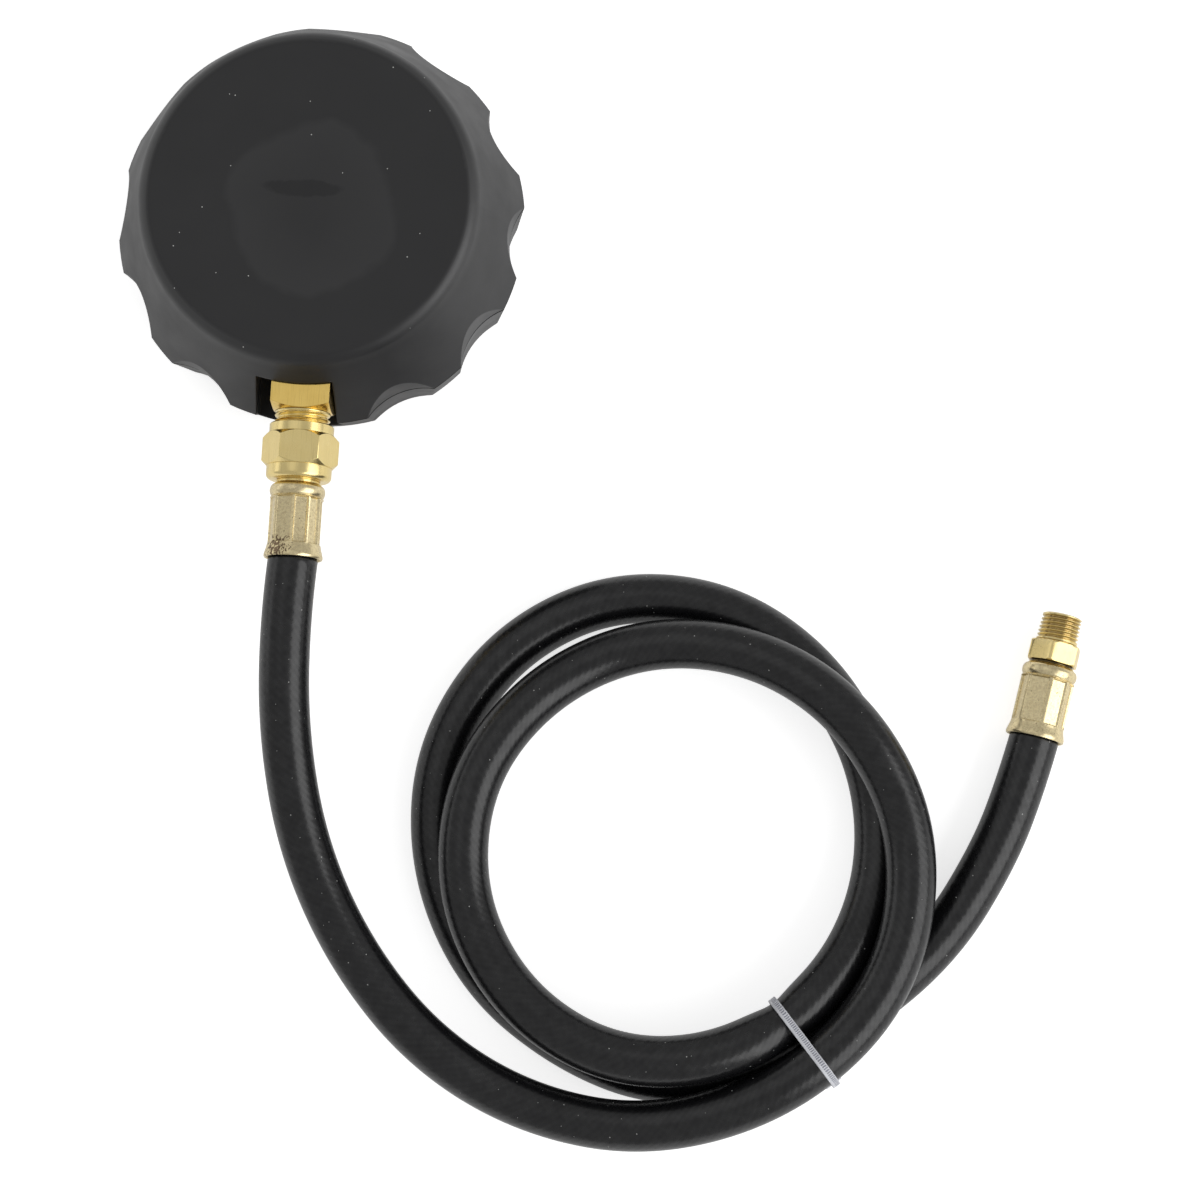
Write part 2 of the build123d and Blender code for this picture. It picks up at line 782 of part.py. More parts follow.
nut_shoulder = flange_start + flange_thickness + running_gap
with BuildPart() as swivel_nut:
    with BuildSketch(Plane.XZ.offset(nut_start)):
        with Locations((0, stem_z)):
            Circle(nut_collar_radius)
    extrude(amount=nut_collar_length)
    with BuildSketch(Plane.XZ.offset(nut_start + nut_collar_length)):
        with Locations((0, stem_z)):
            RegularPolygon(nut_hex_flats / 2, 6, major_radius=False, rotation=-nut_turn)
    extrude(amount=nut_hex_length)
    # both ends of the hexagon are turned to a cone
    with BuildSketch(Plane.YZ):
        for end, inward in (
            (nut_start + nut_collar_length, 1),
            (nut_start + nut_collar_length + nut_hex_length, -1),
        ):
            with BuildLine():
                Polyline(
                    (-end, stem_z + nut_hex_flats / 2),
                    (-end, stem_z + nut_hex_flats / 2 + 2),
                    (-end - inward * 1.0, stem_z + nut_hex_flats / 2 + 2),
                    close=True,
                )
            make_face()
    revolve(axis=lead_axis, mode=Mode.SUBTRACT)
    with BuildSketch(Plane.XZ.offset(nut_end - nut_skirt_length)):
        with Locations((0, stem_z)):
            Circle(nut_skirt_radius)
    extrude(amount=nut_skirt_length)
    fillet(swivel_nut.edges().group_by(Axis.Y)[0], 1.2)
    with BuildSketch(Plane.XZ.offset(nut_start)):
        with Locations((0, stem_z)):
            Circle(stem_radius + running_gap)
    extrude(amount=nut_shoulder - nut_start, mode=Mode.SUBTRACT)
    with BuildSketch(Plane.XZ.offset(nut_shoulder)):
        with Locations((0, stem_z)):
            Circle(neck_radius + running_gap)
    extrude(amount=nut_end - nut_shoulder, mode=Mode.SUBTRACT)
save(swivel_nut, "swivel_nut")


def barbed_tail(plane):
    """The tail that the hose is pushed over, from the ferrule's lip to its mouth."""
    length = ferrule_length - 2.0
    pitch = (length - ferrule_lip - 1.0) / barb_count
    with BuildSketch(lengthwise(plane)) as half:
        with BuildLine():
            points = [(ferrule_length, 0), (ferrule_length, neck_radius)]
            points += [(ferrule_length - ferrule_lip - 1.0, neck_radius)]
            for i in range(barb_count):
                top = ferrule_length - ferrule_lip - 1.0 - i * pitch
                points += [(top, barb_radius - 0.4), (top - 0.3 * pitch, barb_radius)]
            points += [(ferrule_length - length, barb_radius - 0.4)]
            points += [(ferrule_length - length, 0)]
            Polyline(*points, close=True)
        make_face()
    revolve(half.sketch, axis=Axis(plane.origin, plane.z_dir))


with BuildPart() as hose_insert:
    barbed_tail(lead_mouth)
    with BuildSketch(Plane.XZ.offset(flange_start)):
        with Locations((0, stem_z)):
            Circle(flange_radius)
    extrude(amount=flange_thickness)
    with BuildSketch(Plane.XZ.offset(flange_start + flange_thickness)):
        with Locations((0, stem_z)):
            Circle(neck_radius)
    extrude(amount=neck_end - flange_start - flange_thickness)
    with BuildSketch(Plane.XZ.offset(flange_start)):
        with Locations((0, stem_z)):
            Circle(tail_bore_radius)
    extrude(amount=neck_end + ferrule_length - flange_start, mode=Mode.SUBTRACT)
save(hose_insert, "hose_insert")


def ferrule(plane, crimp_turn):
    """A crimped sleeve, its mouth on the plane: a necked front, flats and a flared mouth."""
    axis = Axis(plane.origin, plane.z_dir)
    with BuildPart() as sleeve:
        with BuildSketch(lengthwise(plane)):
            with BuildLine():
                Polyline(
                    (0, ferrule_mouth_radius - 0.5),
                    (0, ferrule_mouth_radius - 0.15),
                    (0.2, ferrule_mouth_radius),
                    (0.9, ferrule_mouth_radius),
                    (3.2, ferrule_body_radius),
                    (ferrule_length - 3.6, ferrule_body_radius),
                    (ferrule_length - 2.6, ferrule_bulge_radius),
                    (ferrule_length - 1.2, ferrule_bulge_radius),
                    (ferrule_length - 0.5, ferrule_neck_radius),
                    (ferrule_length, ferrule_neck_radius),
                    (ferrule_length, neck_radius + running_gap),
                    (ferrule_length - ferrule_lip, neck_radius + running_gap),
                    (ferrule_length - ferrule_lip, ferrule_bore_radius),
                    (2.2, ferrule_bore_radius),
                    close=True,
                )
            make_face()
        revolve(axis=axis)
        # the crimping dies leave flats, with a ridge between each two
        with BuildSketch(plane.offset(2.9)):
            with PolarLocations(ferrule_flat_radius + 1.0, ferrule_flats, start_angle=crimp_turn):
                Rectangle(2.0, 2 * ferrule_body_radius * sin(pi / ferrule_flats))
        extrude(amount=ferrule_length - 6.0, mode=Mode.SUBTRACT)
    return sleeve


lead_ferrule = ferrule(lead_mouth, lead_crimp_turn)
save(lead_ferrule, "lead_ferrule")
tail_ferrule = ferrule(tail_mouth, tail_crimp_turn)
save(tail_ferrule, "tail_ferrule")

# End fitting: barbed tail, hexagon with a corner upwards, and the thread's cylinder
hex_start = ferrule_length + tail_gap
thread_start = hex_start + tail_hex_length
with BuildPart() as tail_fitting:
    barbed_tail(tail_mouth)
    with BuildSketch(tail_mouth.offset(ferrule_length)):
        Circle(neck_radius)
    extrude(amount=tail_gap)
    with BuildSketch(tail_mouth.offset(hex_start)):
        RegularPolygon(tail_hex_flats / 2, 6, major_radius=False, rotation=tail_hex_turn)
    extrude(amount=tail_hex_length)
    with BuildSketch(tail_mouth.offset(thread_start)):
        Circle(tail_thread_radius - 0.7)
    extrude(amount=tail_undercut)
    with BuildSketch(tail_mouth.offset(thread_start + tail_undercut)):
        Circle(tail_thread_radius)
    extrude(amount=tail_thread_length)
    thread_tip = tail_fitting.faces().sort_by(Axis(tail_mouth.origin, tail_mouth.z_dir))[-1]
    chamfer(thread_tip.edges(), 0.6)
    with BuildSketch(tail_mouth):
        Circle(tail_bore_radius)
    extrude(amount=thread_start + tail_undercut + tail_thread_length, mode=Mode.SUBTRACT)
save(tail_fitting, "tail_fitting")


# Hose: straight runs joined by tangent arcs, each as large as its two runs allow
def corner_radii(route):
    radii = []
    for before, here, after in zip(route, route[1:], route[2:]):
        run_in = Vector(here) - Vector(before)
        run_out = Vector(after) - Vector(here)
        turn = radians(run_in.get_angle(run_out))
        radii.append(0.45 * min(run_in.length, run_out.length) / tan(turn / 2))
    return radii


bend_radii = corner_radii(hose_route)
print("hose bends, mm:", [round(r) for r in bend_radii])
gripped_length = ferrule_length - ferrule_lip - 1.2
with BuildPart() as hose:
    with BuildLine() as hose_path:
        FilletPolyline(*hose_route, radius=bend_radii)
    hose_line = hose_path.wires()[0]
    with BuildSketch(Plane(origin=hose_line @ 0, z_dir=hose_line % 0)):
        Circle(hose_diameter / 2)
    sweep(path=hose_line)
    print("hose length, mm:", round(hose_line.length, 1))
    print("hose volume over section times length:",
          round(hose.part.volume / (pi * hose_diameter**2 / 4 * hose_line.length), 4))
    # its two ends are squeezed inside the ferrules, over the barbed tails
    for mouth in (lead_mouth, tail_mouth):
        with BuildSketch(mouth):
            Circle(squeezed_radius)
        extrude(amount=gripped_length)
        with BuildSketch(mouth.offset(1.9)):
            Circle(barb_radius + running_gap)
        extrude(amount=gripped_length, mode=Mode.SUBTRACT)
save(hose, "hose")

# Cable tie round three strands: two side by side on top, one below in the groove
strands = [(Vector(hose_route[i]) + Vector(hose_route[i + 1])) / 2 for i in tied_runs]
tie_run = Vector(hose_route[tied_runs[0] + 1]) - Vector(hose_route[tied_runs[0]])
tie_along = Vector(tie_run.X, tie_run.Y, 0).normalized()
tie_plane = Plane(
    origin=(strands[2].X, strands[2].Y, 0),
    x_dir=Vector(-tie_along.Y, tie_along.X, 0),
    z_dir=tie_along,
)
strand_places = [(tie_plane.to_local_coords(s).X, tie_plane.to_local_coords(s).Y) for s in strands]


def tie_outline(offset):
    """The three strands' common outline, seen along the strands."""
    with BuildSketch(tie_plane, mode=Mode.PRIVATE) as outline:
        with Locations(*strand_places):
            Circle(hose_diameter / 2 + offset)
        make_hull()
    return outline.sketch


with BuildPart() as cable_tie:
    extrude(tie_outline(tie_gap + tie_thickness), amount=tie_width / 2, both=True)
    # the locking head, in the hollow beside the lower strand
    with BuildSketch(tie_plane):
        with Locations((-hose_diameter / 2 - tie_head[0] / 2 - 0.8, 4.2)):
            Rectangle(tie_head[0], tie_head[1])
    extrude(amount=tie_head[2] / 2, both=True)
    extrude(tie_outline(tie_gap), amount=tie_head[2], both=True, mode=Mode.SUBTRACT)
save(cable_tie, "cable_tie")
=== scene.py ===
"""Looks of an engine oil pressure tester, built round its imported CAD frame."""

import json
from math import cos, exp, pi, radians, sin, tau

import bmesh
import bpy
from mathutils import Matrix, Vector


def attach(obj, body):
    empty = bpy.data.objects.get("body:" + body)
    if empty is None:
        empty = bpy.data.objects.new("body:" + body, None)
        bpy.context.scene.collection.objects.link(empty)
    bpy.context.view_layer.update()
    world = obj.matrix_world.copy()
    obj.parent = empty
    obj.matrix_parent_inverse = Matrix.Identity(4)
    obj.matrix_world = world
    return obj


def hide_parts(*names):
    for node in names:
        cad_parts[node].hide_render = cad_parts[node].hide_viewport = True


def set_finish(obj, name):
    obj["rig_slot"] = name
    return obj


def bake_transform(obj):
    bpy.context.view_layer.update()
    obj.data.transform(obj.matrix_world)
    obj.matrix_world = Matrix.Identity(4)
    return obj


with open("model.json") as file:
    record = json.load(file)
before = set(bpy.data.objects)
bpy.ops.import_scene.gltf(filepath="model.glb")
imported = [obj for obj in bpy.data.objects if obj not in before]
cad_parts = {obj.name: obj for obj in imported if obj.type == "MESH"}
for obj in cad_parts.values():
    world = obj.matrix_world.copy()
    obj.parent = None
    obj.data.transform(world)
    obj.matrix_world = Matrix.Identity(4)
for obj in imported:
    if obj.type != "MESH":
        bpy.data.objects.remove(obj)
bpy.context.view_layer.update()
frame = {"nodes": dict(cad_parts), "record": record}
cad = frame["nodes"]
scene = bpy.context.scene
MM = 0.001


# ---------------------------------------------------------------- camera
CAMERA_PLACE = Matrix((
    (0.99795, -0.04925, 0.04077, 98.358 * MM),
    (0.05432, 0.98943, -0.13442, -176.588 * MM),
    (-0.03372, 0.13636, 0.99009, 678.740 * MM),
    (0, 0, 0, 1),
))
camera_data = bpy.data.cameras.new("camera")
camera = bpy.data.objects.new("camera", camera_data)
scene.collection.objects.link(camera)
camera.matrix_world = CAMERA_PLACE
camera_data.sensor_width = 36
camera_data.lens = 85.94
camera_data.clip_start = 0.01
camera_data.clip_end = 50
scene.camera = camera


# ---------------------------------------------------------------- mesh helpers
def add_object(name, data, body="tester"):
    piece = bpy.data.objects.new(name, data)
    scene.collection.objects.link(piece)
    if body:
        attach(piece, body)
    return piece


def mesh_from(name, points, faces):
    mesh = bpy.data.meshes.new(name)
    mesh.from_pydata([tuple(p) for p in points], [], faces)
    mesh.validate()
    return mesh


def meshed(curve):
    """The mesh that Blender makes of a curve or a text, in place of it."""
    holder = bpy.data.objects.new(curve.name, curve)
    scene.collection.objects.link(holder)
    graph = bpy.context.evaluated_depsgraph_get()
    mesh = bpy.data.meshes.new_from_object(holder.evaluated_get(graph), depsgraph=graph)
    bpy.data.objects.remove(holder)
    bpy.data.curves.remove(curve)
    return mesh


def shade(mesh, angle):
    """Smooth faces, with the edges sharper than the angle kept sharp."""
    bm = bmesh.new()
    bm.from_mesh(mesh)
    bmesh.ops.recalc_face_normals(bm, faces=bm.faces)
    limit = radians(angle)
    for face in bm.faces:
        face.smooth = True
    for edge in bm.edges:
        edge.smooth = len(edge.link_faces) == 2 and edge.calc_face_angle(0) < limit
    bm.to_mesh(mesh)
    bm.free()


def frame_of(origin, axis):
    """A matrix at a point, in millimetres, whose z runs along a level axis."""
    z = Vector(axis).normalized()
    x = Vector((0, 0, 1)).cross(z).normalized()
    y = z.cross(x)
    place = Matrix((x, y, z)).transposed().to_4x4()
    place.translation = Vector(origin) * MM
    return place


def band(first, second, sides):
    """The faces between two rings of points, given the number of each one's first."""
    return [(first + k, first + (k + 1) % sides, second + (k + 1) % sides, second + k)
            for k in range(sides)]


def turned(name, place, rings, sides, sharp):
    """A mesh of rings round a frame's z: each ring is (station, radius), in millimetres.

    A radius is a number or a function of the angle. The last ring joins the first, as
    a tube's wall does. Edges sharper than the angle stay sharp.
    """
    points, faces = [], []
    for station, radius in rings:
        for k in range(sides):
            angle = tau * k / sides
            r = radius(angle) if callable(radius) else radius
            points.append(place @ (Vector((r * cos(angle), r * sin(angle), station)) * MM))
    for i in range(len(rings)):
        faces += band(i * sides, (i + 1) % len(rings) * sides, sides)
    mesh = mesh_from(name, points, faces)
    shade(mesh, sharp)
    return mesh


def hexagon(flats, limit, turn):
    """The radius of a hexagon at an angle, cut to a circle of the limit."""
    def radius(angle):
        offset = (angle - turn + pi / 6) % (pi / 3) - pi / 6
        return min(flats / 2 / cos(offset), limit)
    return radius


def thread(start, end, crest_start, crest_end, depth, pitch, step):
    """Rings of a screw thread whose crest's radius runs from one value to another."""
    rings = []
    run_in = 0.6 * pitch
    count = round((end - start) / step)
    for i in range(count + 1):
        station = start + (end - start) * i / count
        crest = crest_start + (crest_end - crest_start) * i / count
        fade = min(1.0, (station - start) / run_in, (end - station) / run_in)

        def radius(angle, station=station, crest=crest, fade=fade):
            # straight flanks between a narrow root and a flat crest
            phase = (station / pitch - angle / tau) % 1.0
            rise = min(1.0, max(0.0, abs(phase - 0.5) * 2.5 - 0.2))
            return crest - depth * (1 - rise) * fade
        rings.append((station, radius))
    return rings


# ---------------------------------------------------------------- hose
# The route's points are the same as the CAD hose's, in metres.
HOSE_ROUTE = [
    (0, -0.08205, 0.0265), (-0.0009, -0.0955, 0.0265), (0.0001, -0.1215, 0.024),
    (0.0061, -0.1481, 0.021), (0.0185, -0.1719, 0.019), (0.0369, -0.1921, 0.018),
    (0.0604, -0.2048, 0.013), (0.0875, -0.2085, 0.013), (0.115, -0.2, 0.0175),
    (0.1362, -0.1822, 0.0195), (0.1464, -0.1594, 0.0186), (0.1452, -0.1327, 0.017),
    (0.1306, -0.1099, 0.0203), (0.108, -0.0964, 0.0165), (0.0815, -0.095, 0.012),
    (0.058, -0.1074, 0.013), (0.043, -0.1298, 0.017), (0.0424, -0.1576, 0.017),
    (0.0565, -0.1809, 0.018), (0.0805, -0.1935, 0.0185), (0.1075, -0.1902, 0.0195),
    (0.1295, -0.173, 0.0148), (0.14, -0.1479, 0.0075), (0.1372, -0.1206, 0.0059),
    (0.1222, -0.0978, 0.0059), (0.0985, -0.0841, 0.0059), (0.071, -0.0843, 0.0059),
    (0.0475, -0.0989, 0.0059), (0.0343, -0.1234, 0.0059), (0.0351, -0.151, 0.0059),
    (0.0476, -0.1752, 0.0059), (0.0682, -0.1902, 0.0059), (0.0902, -0.1974, 0.0062),
    (0.113, -0.193, 0.0079), (0.134, -0.18, 0.0068), (0.1537, -0.1622, 0.0059),
    (0.1658, -0.1404, 0.0062), (0.1715, -0.1233, 0.0069), (0.17405, -0.113, 0.0069),
]
HOSE_RADIUS = 5.8
HOSE_GIRTH = tau * HOSE_RADIUS * MM
HOSE_SIDES = 40
# past the route's ends, in the ferrules: how far, and the radius there, in metres
HOSE_HIDDEN = ((0.003, 0.0053), (0.0005, 0.0055))
TAIL_AXIS = Vector((0.1925, 0.9813, 0)).normalized()
STEM_Z = 26.5
# where the tie pinches the inner turn, how deep and over what length, in millimetres
PINCH_AT = Vector((0.1185, -0.1816, 0.0172))
PINCH_DEPTH, PINCH_REACH = 0.8, 5.0


def centreline(route):
    """Points along the smooth line that a route's points steer."""
    curve = bpy.data.curves.new("route", "CURVE")
    curve.dimensions = "3D"
    curve.resolution_u = 20
    spline = curve.splines.new("NURBS")
    spline.points.add(len(route) - 1)
    for point, place in zip(spline.points, route):
        point.co = (*place, 1)
    spline.order_u = 3
    spline.use_endpoint_u = True
    line = meshed(curve)
    points = [v.co.copy() for v in line.vertices]
    bpy.data.meshes.remove(line)
    return points


def hose_rows(line):
    """The tube's rings: distance along it, centre, two directions across and radius."""
    steps = [(b - a).normalized() for a, b in zip(line, line[1:])]
    bends = [(a + b).normalized() for a, b in zip(steps, steps[1:])]
    side, distance, rows = Vector((1, 0, 0)), 0.0, []
    for i, (point, tangent) in enumerate(zip(line, [steps[0], *bends, steps[-1]])):
        if i:
            distance += (point - line[i - 1]).length
        side = (side - side.dot(tangent) * tangent).normalized()
        away = (point - PINCH_AT).length / MM / PINCH_REACH
        radius = (HOSE_RADIUS - PINCH_DEPTH * exp(-away * away)) * MM
        rows.append((distance, point, side, tangent.cross(side), radius))

    def beyond(row, tangent, step, radius):
        distance, point, side, other, _ = row
        return distance + step, point + tangent * step, side, other, radius

    before = [beyond(rows[0], steps[0], -step, radius) for step, radius in HOSE_HIDDEN]
    after = [beyond(rows[-1], steps[-1], step, radius)
             for step, radius in reversed(HOSE_HIDDEN)]
    return before + rows + after


def hose_tube(name, line):
    """A tube along the line, squeezed where it enters the two ferrules, with its
    length and its girth in metres as its texture's coordinates."""
    rows = hose_rows(line)
    points, faces, coords = [], [], []
    for _, point, side, other, radius in rows:
        for k in range(HOSE_SIDES):
            angle = tau * k / HOSE_SIDES
            points.append(point + (side * cos(angle) + other * sin(angle)) * radius)
    for i in range(len(rows) - 1):
        faces += band(i * HOSE_SIDES, (i + 1) * HOSE_SIDES, HOSE_SIDES)
        a, b = rows[i][0], rows[i + 1][0]
        for k in range(HOSE_SIDES):
            u, v = HOSE_GIRTH * k / HOSE_SIDES, HOSE_GIRTH * (k + 1) / HOSE_SIDES
            coords.append(((a, u), (a, v), (b, v), (b, u)))
    last = (len(rows) - 1) * HOSE_SIDES
    faces.append(tuple(reversed(range(HOSE_SIDES))))
    faces.append(tuple(range(last, last + HOSE_SIDES)))
    coords += [((0, 0),) * HOSE_SIDES] * 2
    mesh = mesh_from(name, points, faces)
    layer = mesh.uv_layers.new(name="along_hose")
    for polygon, corners in zip(mesh.polygons, coords):
        polygon.use_smooth = True
        for loop, corner in zip(polygon.loop_indices, corners):
            layer.data[loop].uv = corner
    return mesh


hose_line = centreline(HOSE_ROUTE)
hose = add_object("hose_cover", hose_tube("hose_cover", hose_line))
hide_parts("hose")
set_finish(hose, "hose_rubber")


# ---------------------------------------------------------------- cable tie
# It crosses three strands of the hose, and takes its outline from where they really lie.
# The runs are those between the route's points, counted from the gauge.
TIE_RUNS = (8, 20, 33)
TIED_RADII = (HOSE_RADIUS, HOSE_RADIUS - PINCH_DEPTH, HOSE_RADIUS)
TIE_GAP = 0.12
TIE_STEP = 0.13
TIE_WIDTH = 1.9
TIE_THICKNESS = 0.85
RIB_PITCH = 0.52
RIB_HEIGHT = 0.13
# the two points of the section that rise with the ribs
RIB_POINTS = (4, 5)
OUTLINE_STEPS = 720
HEAD_SIDES = 32


def strap_section(ribbed):
    """The strap's section, as (along the hose, out from it), in millimetres."""
    half, thick = TIE_WIDTH / 2, TIE_THICKNESS
    top = thick - RIB_HEIGHT + (RIB_HEIGHT if ribbed else 0.0)
    return [
        (-half, 0.08), (-half, thick - 0.15), (-half + 0.15, thick), (-0.32, thick),
        (-0.26, top), (0.66, top), (0.72, thick),
        (half - 0.12, thick), (half, thick - 0.15), (half, 0.08),
        (half - 0.08, 0), (-half + 0.08, 0),
    ]


def strap_path(reaches):
    """Evenly spaced places and outward directions along a belt round some circles."""
    corners = []
    for k in range(OUTLINE_STEPS):
        angle = tau * k / OUTLINE_STEPS
        direction = Vector((cos(angle), sin(angle)))
        centre, radius = max(reaches, key=lambda reach: reach[0].dot(direction) + reach[1])
        corners.append((centre + direction * radius, direction))
    path = []
    for (a, na), (b, nb) in zip(corners, corners[1:] + corners[:1]):
        count = max(1, round((b - a).length / TIE_STEP))
        for k in range(count):
            path.append((a.lerp(b, k / count), na.lerp(nb, k / count).normalized()))
    return path


def head_rings():
    """The locking head's points, as (across, up, along): at each of its four levels
    the rounded outside, then the opening that the strap runs through."""
    middle_x, middle_z = -HOSE_RADIUS - 3.3, 4.2
    outer_x, outer_z, outer_y = 2.5, 2.2, 2.3
    inner_x, inner_z = 1.6, 0.9
    rounding, squareness = 0.35, 5
    levels = ((-outer_y, rounding), (-outer_y + rounding, 0),
              (outer_y - rounding, 0), (outer_y, rounding))
    for level, shrink in levels:
        for half_x, half_z in ((outer_x - shrink, outer_z - shrink), (inner_x, inner_z)):
            for k in range(HEAD_SIDES):
                c, s = cos(tau * k / HEAD_SIDES), sin(tau * k / HEAD_SIDES)
                grow = (abs(c) ** squareness + abs(s) ** squareness) ** (-1 / squareness)
                yield middle_x + c * grow * half_x, middle_z + s * grow * half_z, level


def head_faces(base):
    """The head's walls outside and inside, and its two ends."""
    def at(level, hole, k):
        return base + (level * 2 + hole) * HEAD_SIDES + k % HEAD_SIDES

    faces = []
    for k in range(HEAD_SIDES):
        n = k + 1
        for low in range(3):
            high = low + 1
            faces.append((at(low, 0, k), at(low, 0, n), at(high, 0, n), at(high, 0, k)))
            faces.append((at(low, 1, k), at(high, 1, k), at(high, 1, n), at(low, 1, n)))
        faces.append((at(0, 0, k), at(0, 1, k), at(0, 1, n), at(0, 0, n)))
        faces.append((at(3, 0, k), at(3, 0, n), at(3, 1, n), at(3, 1, k)))
    return faces


def tie_mesh(name):
    runs = [(Vector(HOSE_ROUTE[i]), Vector(HOSE_ROUTE[i + 1])) for i in TIE_RUNS]
    middle = (runs[2][0] + runs[2][1]) / 2
    run = runs[0][1] - runs[0][0]
    along = Vector((run.x, run.y, 0)).normalized()
    across = Vector((-along.y, along.x, 0))
    origin = Vector((middle.x, middle.y, 0))

    def crossing(a, b):
        """Where a strand's centre passes through the tie's plane, near its run's middle."""
        guess = (a + b) / 2
        sides = [(point - origin).dot(along) for point in hose_line]
        best = min((i for i in range(len(hose_line) - 1) if sides[i] * sides[i + 1] <= 0),
                   key=lambda i: (hose_line[i] - guess).length)
        p, q = hose_line[best], hose_line[best + 1]
        met = p.lerp(q, (origin - p).dot(along) / (q - p).dot(along))
        return Vector(((met - origin).dot(across), met.z)) / MM

    def spot(x, z, y):
        return origin + across * (x * MM) + Vector((0, 0, z * MM)) + along * (y * MM)

    path = strap_path([(crossing(a, b), radius + TIE_GAP)
                       for (a, b), radius in zip(runs, TIED_RADII)])
    points, faces, ribs, travelled = [], [], [], 0.0
    for i, (place, normal) in enumerate(path):
        travelled += (place - path[i - 1][0]).length if i else 0
        ribbed = travelled % RIB_PITCH < RIB_PITCH / 2
        section = strap_section(ribbed)
        for k, (y, out) in enumerate(section):
            x, z = place + normal * out
            points.append(spot(x, z, y))
            # the groove floors between the ribs get 0, where shade is painted on; all other points
            # get 1
            ribs.append(0 if k in RIB_POINTS and not ribbed else 1)
    width = len(section)
    for i in range(len(path)):
        faces += band(i * width, (i + 1) % len(path) * width, width)
    faces += head_faces(len(points))
    for x, z, y in head_rings():
        points.append(spot(x, z, y))
        ribs.append(1)
    mesh = mesh_from(name, points, faces)
    shade(mesh, 30)
    raised = mesh.attributes.new("unshaded", "FLOAT", "POINT")
    for item, value in zip(raised.data, ribs):
        item.value = value
    return mesh


tie = add_object("ribbed_tie", tie_mesh("ribbed_tie"))
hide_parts("cable_tie")
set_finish(tie, "clear_nylon")


# ---------------------------------------------------------------- end fitting
TAIL_PITCH = 0.94
TAIL_HEX = 18.0
tail_place = frame_of((174.05, -113.0, 6.9), TAIL_AXIS)


def end_fitting(name):
    flats, corner, chamfer, turn = 11.1, 6.32, 6.05, radians(48)
    start, end = TAIL_HEX, TAIL_HEX + 4.9

    def cut(limit):
        return hexagon(flats, limit, turn)

    rings = [
        (14.0, 1.6), (14.0, 4.8), (start, 4.8), (start + 0.15, 5.3),
        (start + 0.2, cut(5.9)), (start + 0.3, cut(chamfer)), (start + 0.45, cut(corner)),
        (end - 0.4, cut(corner)), (end - 0.2, cut(chamfer)), (end, cut(5.8)),
        (end, 4.3), (end + 0.45, 4.25),
    ]
    rings += thread(end + 0.45, end + 6.6, 4.93, 4.68, 0.62, TAIL_PITCH, 0.047)
    rings += [(end + 6.9, 4.1), (end + 6.9, 2.2), (end + 6.5, 1.7), (end + 6.0, 1.6)]
    return turned(name, tail_place, rings, 120, 28)


fitting = add_object("threaded_end", end_fitting("threaded_end"))
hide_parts("tail_fitting")
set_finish(fitting, "satin_brass")

# The stem's thread shows between the block and the nut.
STEM_PITCH = 1.41
stem_place = frame_of((0, 0, STEM_Z), (0, -1, 0))


def stem_thread(name):
    rings = [(47.55, 5.6), (47.6, 5.75)]
    rings += thread(47.7, 50.9, 6.45, 6.5, 0.75, STEM_PITCH, 0.08)
    rings += [(50.95, 5.75), (51.0, 5.6)]
    return turned(name, stem_place, rings, 120, 28)


stem = add_object("stem_thread", stem_thread("stem_thread"))
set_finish(stem, "satin_brass")


# ---------------------------------------------------------------- crimped ferrules
# Ridge bearings are counted from the top towards +X, in degrees; the dies press the
# flats between them. A land is half the width of a ridge.
LEAD_RIDGES, LEAD_LAND = (-44.1, 1.3, 36.7, 69.2, 118.5, 167.9, 217.2, 266.5), 0.26
TAIL_RIDGES, TAIL_LAND = (-51.0, 2.4, 45.5, 89.4, 133.3, 177.3, 221.2, 265.1), 0.40
FERRULE_BODY = 6.22
FERRULE_FLAT = 5.5
FLAT_WALL = 0.16
lead_place = frame_of((0, -82.05, STEM_Z), (0, 1, 0))


def ferrule(name, place, ridges, land):
    bearings = sorted(radians(90 + r) % tau for r in ridges)
    flats = [((a + b) / 2, (b - a) / 2)
             for a, b in zip(bearings, bearings[1:] + [bearings[0] + tau])]

    def pressed(limit, depth):
        """The body's radius, with flats pressed in between the ridges."""
        def radius(angle):
            best = limit
            for centre, half in flats:
                offset = abs((angle - centre + pi) % tau - pi)
                if offset < half:
                    edge = (half - offset) * limit
                    flat = depth / cos(min(offset, 0.6))
                    rise = min(1.0, max(0.0, (edge - land) / FLAT_WALL))
                    rise = rise * rise * (3 - 2 * rise)
                    best = min(best, limit + (flat - limit) * rise)
            return best
        return radius

    # the rolled mouth and its neck
    rings = [(2.2, 5.5), (0.9, 5.9), (0.0, 6.35), (-0.02, 6.5), (0.05, 6.72), (0.25, 6.84),
             (0.6, 6.86), (0.95, 6.80), (1.6, 6.62), (2.3, 6.42), (2.9, 6.28),
             (3.3, FERRULE_BODY)]
    # the pressed body
    bottom = pressed(FERRULE_BODY, FERRULE_FLAT)
    rings += [(3.35, pressed(FERRULE_BODY, 6.1)), (3.5, pressed(FERRULE_BODY, 5.6))]
    rings += [(3.6 + k * 1.03, bottom) for k in range(1, 10)]
    rings += [(13.85, bottom), (13.98, pressed(6.24, 5.65)), (14.12, pressed(6.3, 6.2))]
    # the bead round its end, and the end turned in
    for k in range(13):
        angle = radians(-62 + k * 12.0)
        rings.append((15.75 + 1.45 * sin(angle), 5.55 + 0.9 * cos(angle)))
    rings += [(17.45, 5.4), (17.6, 5.25), (17.66, 5.1), (17.66, 4.95), (16.6, 4.95)]
    return turned(name, place, rings, 288, 40)


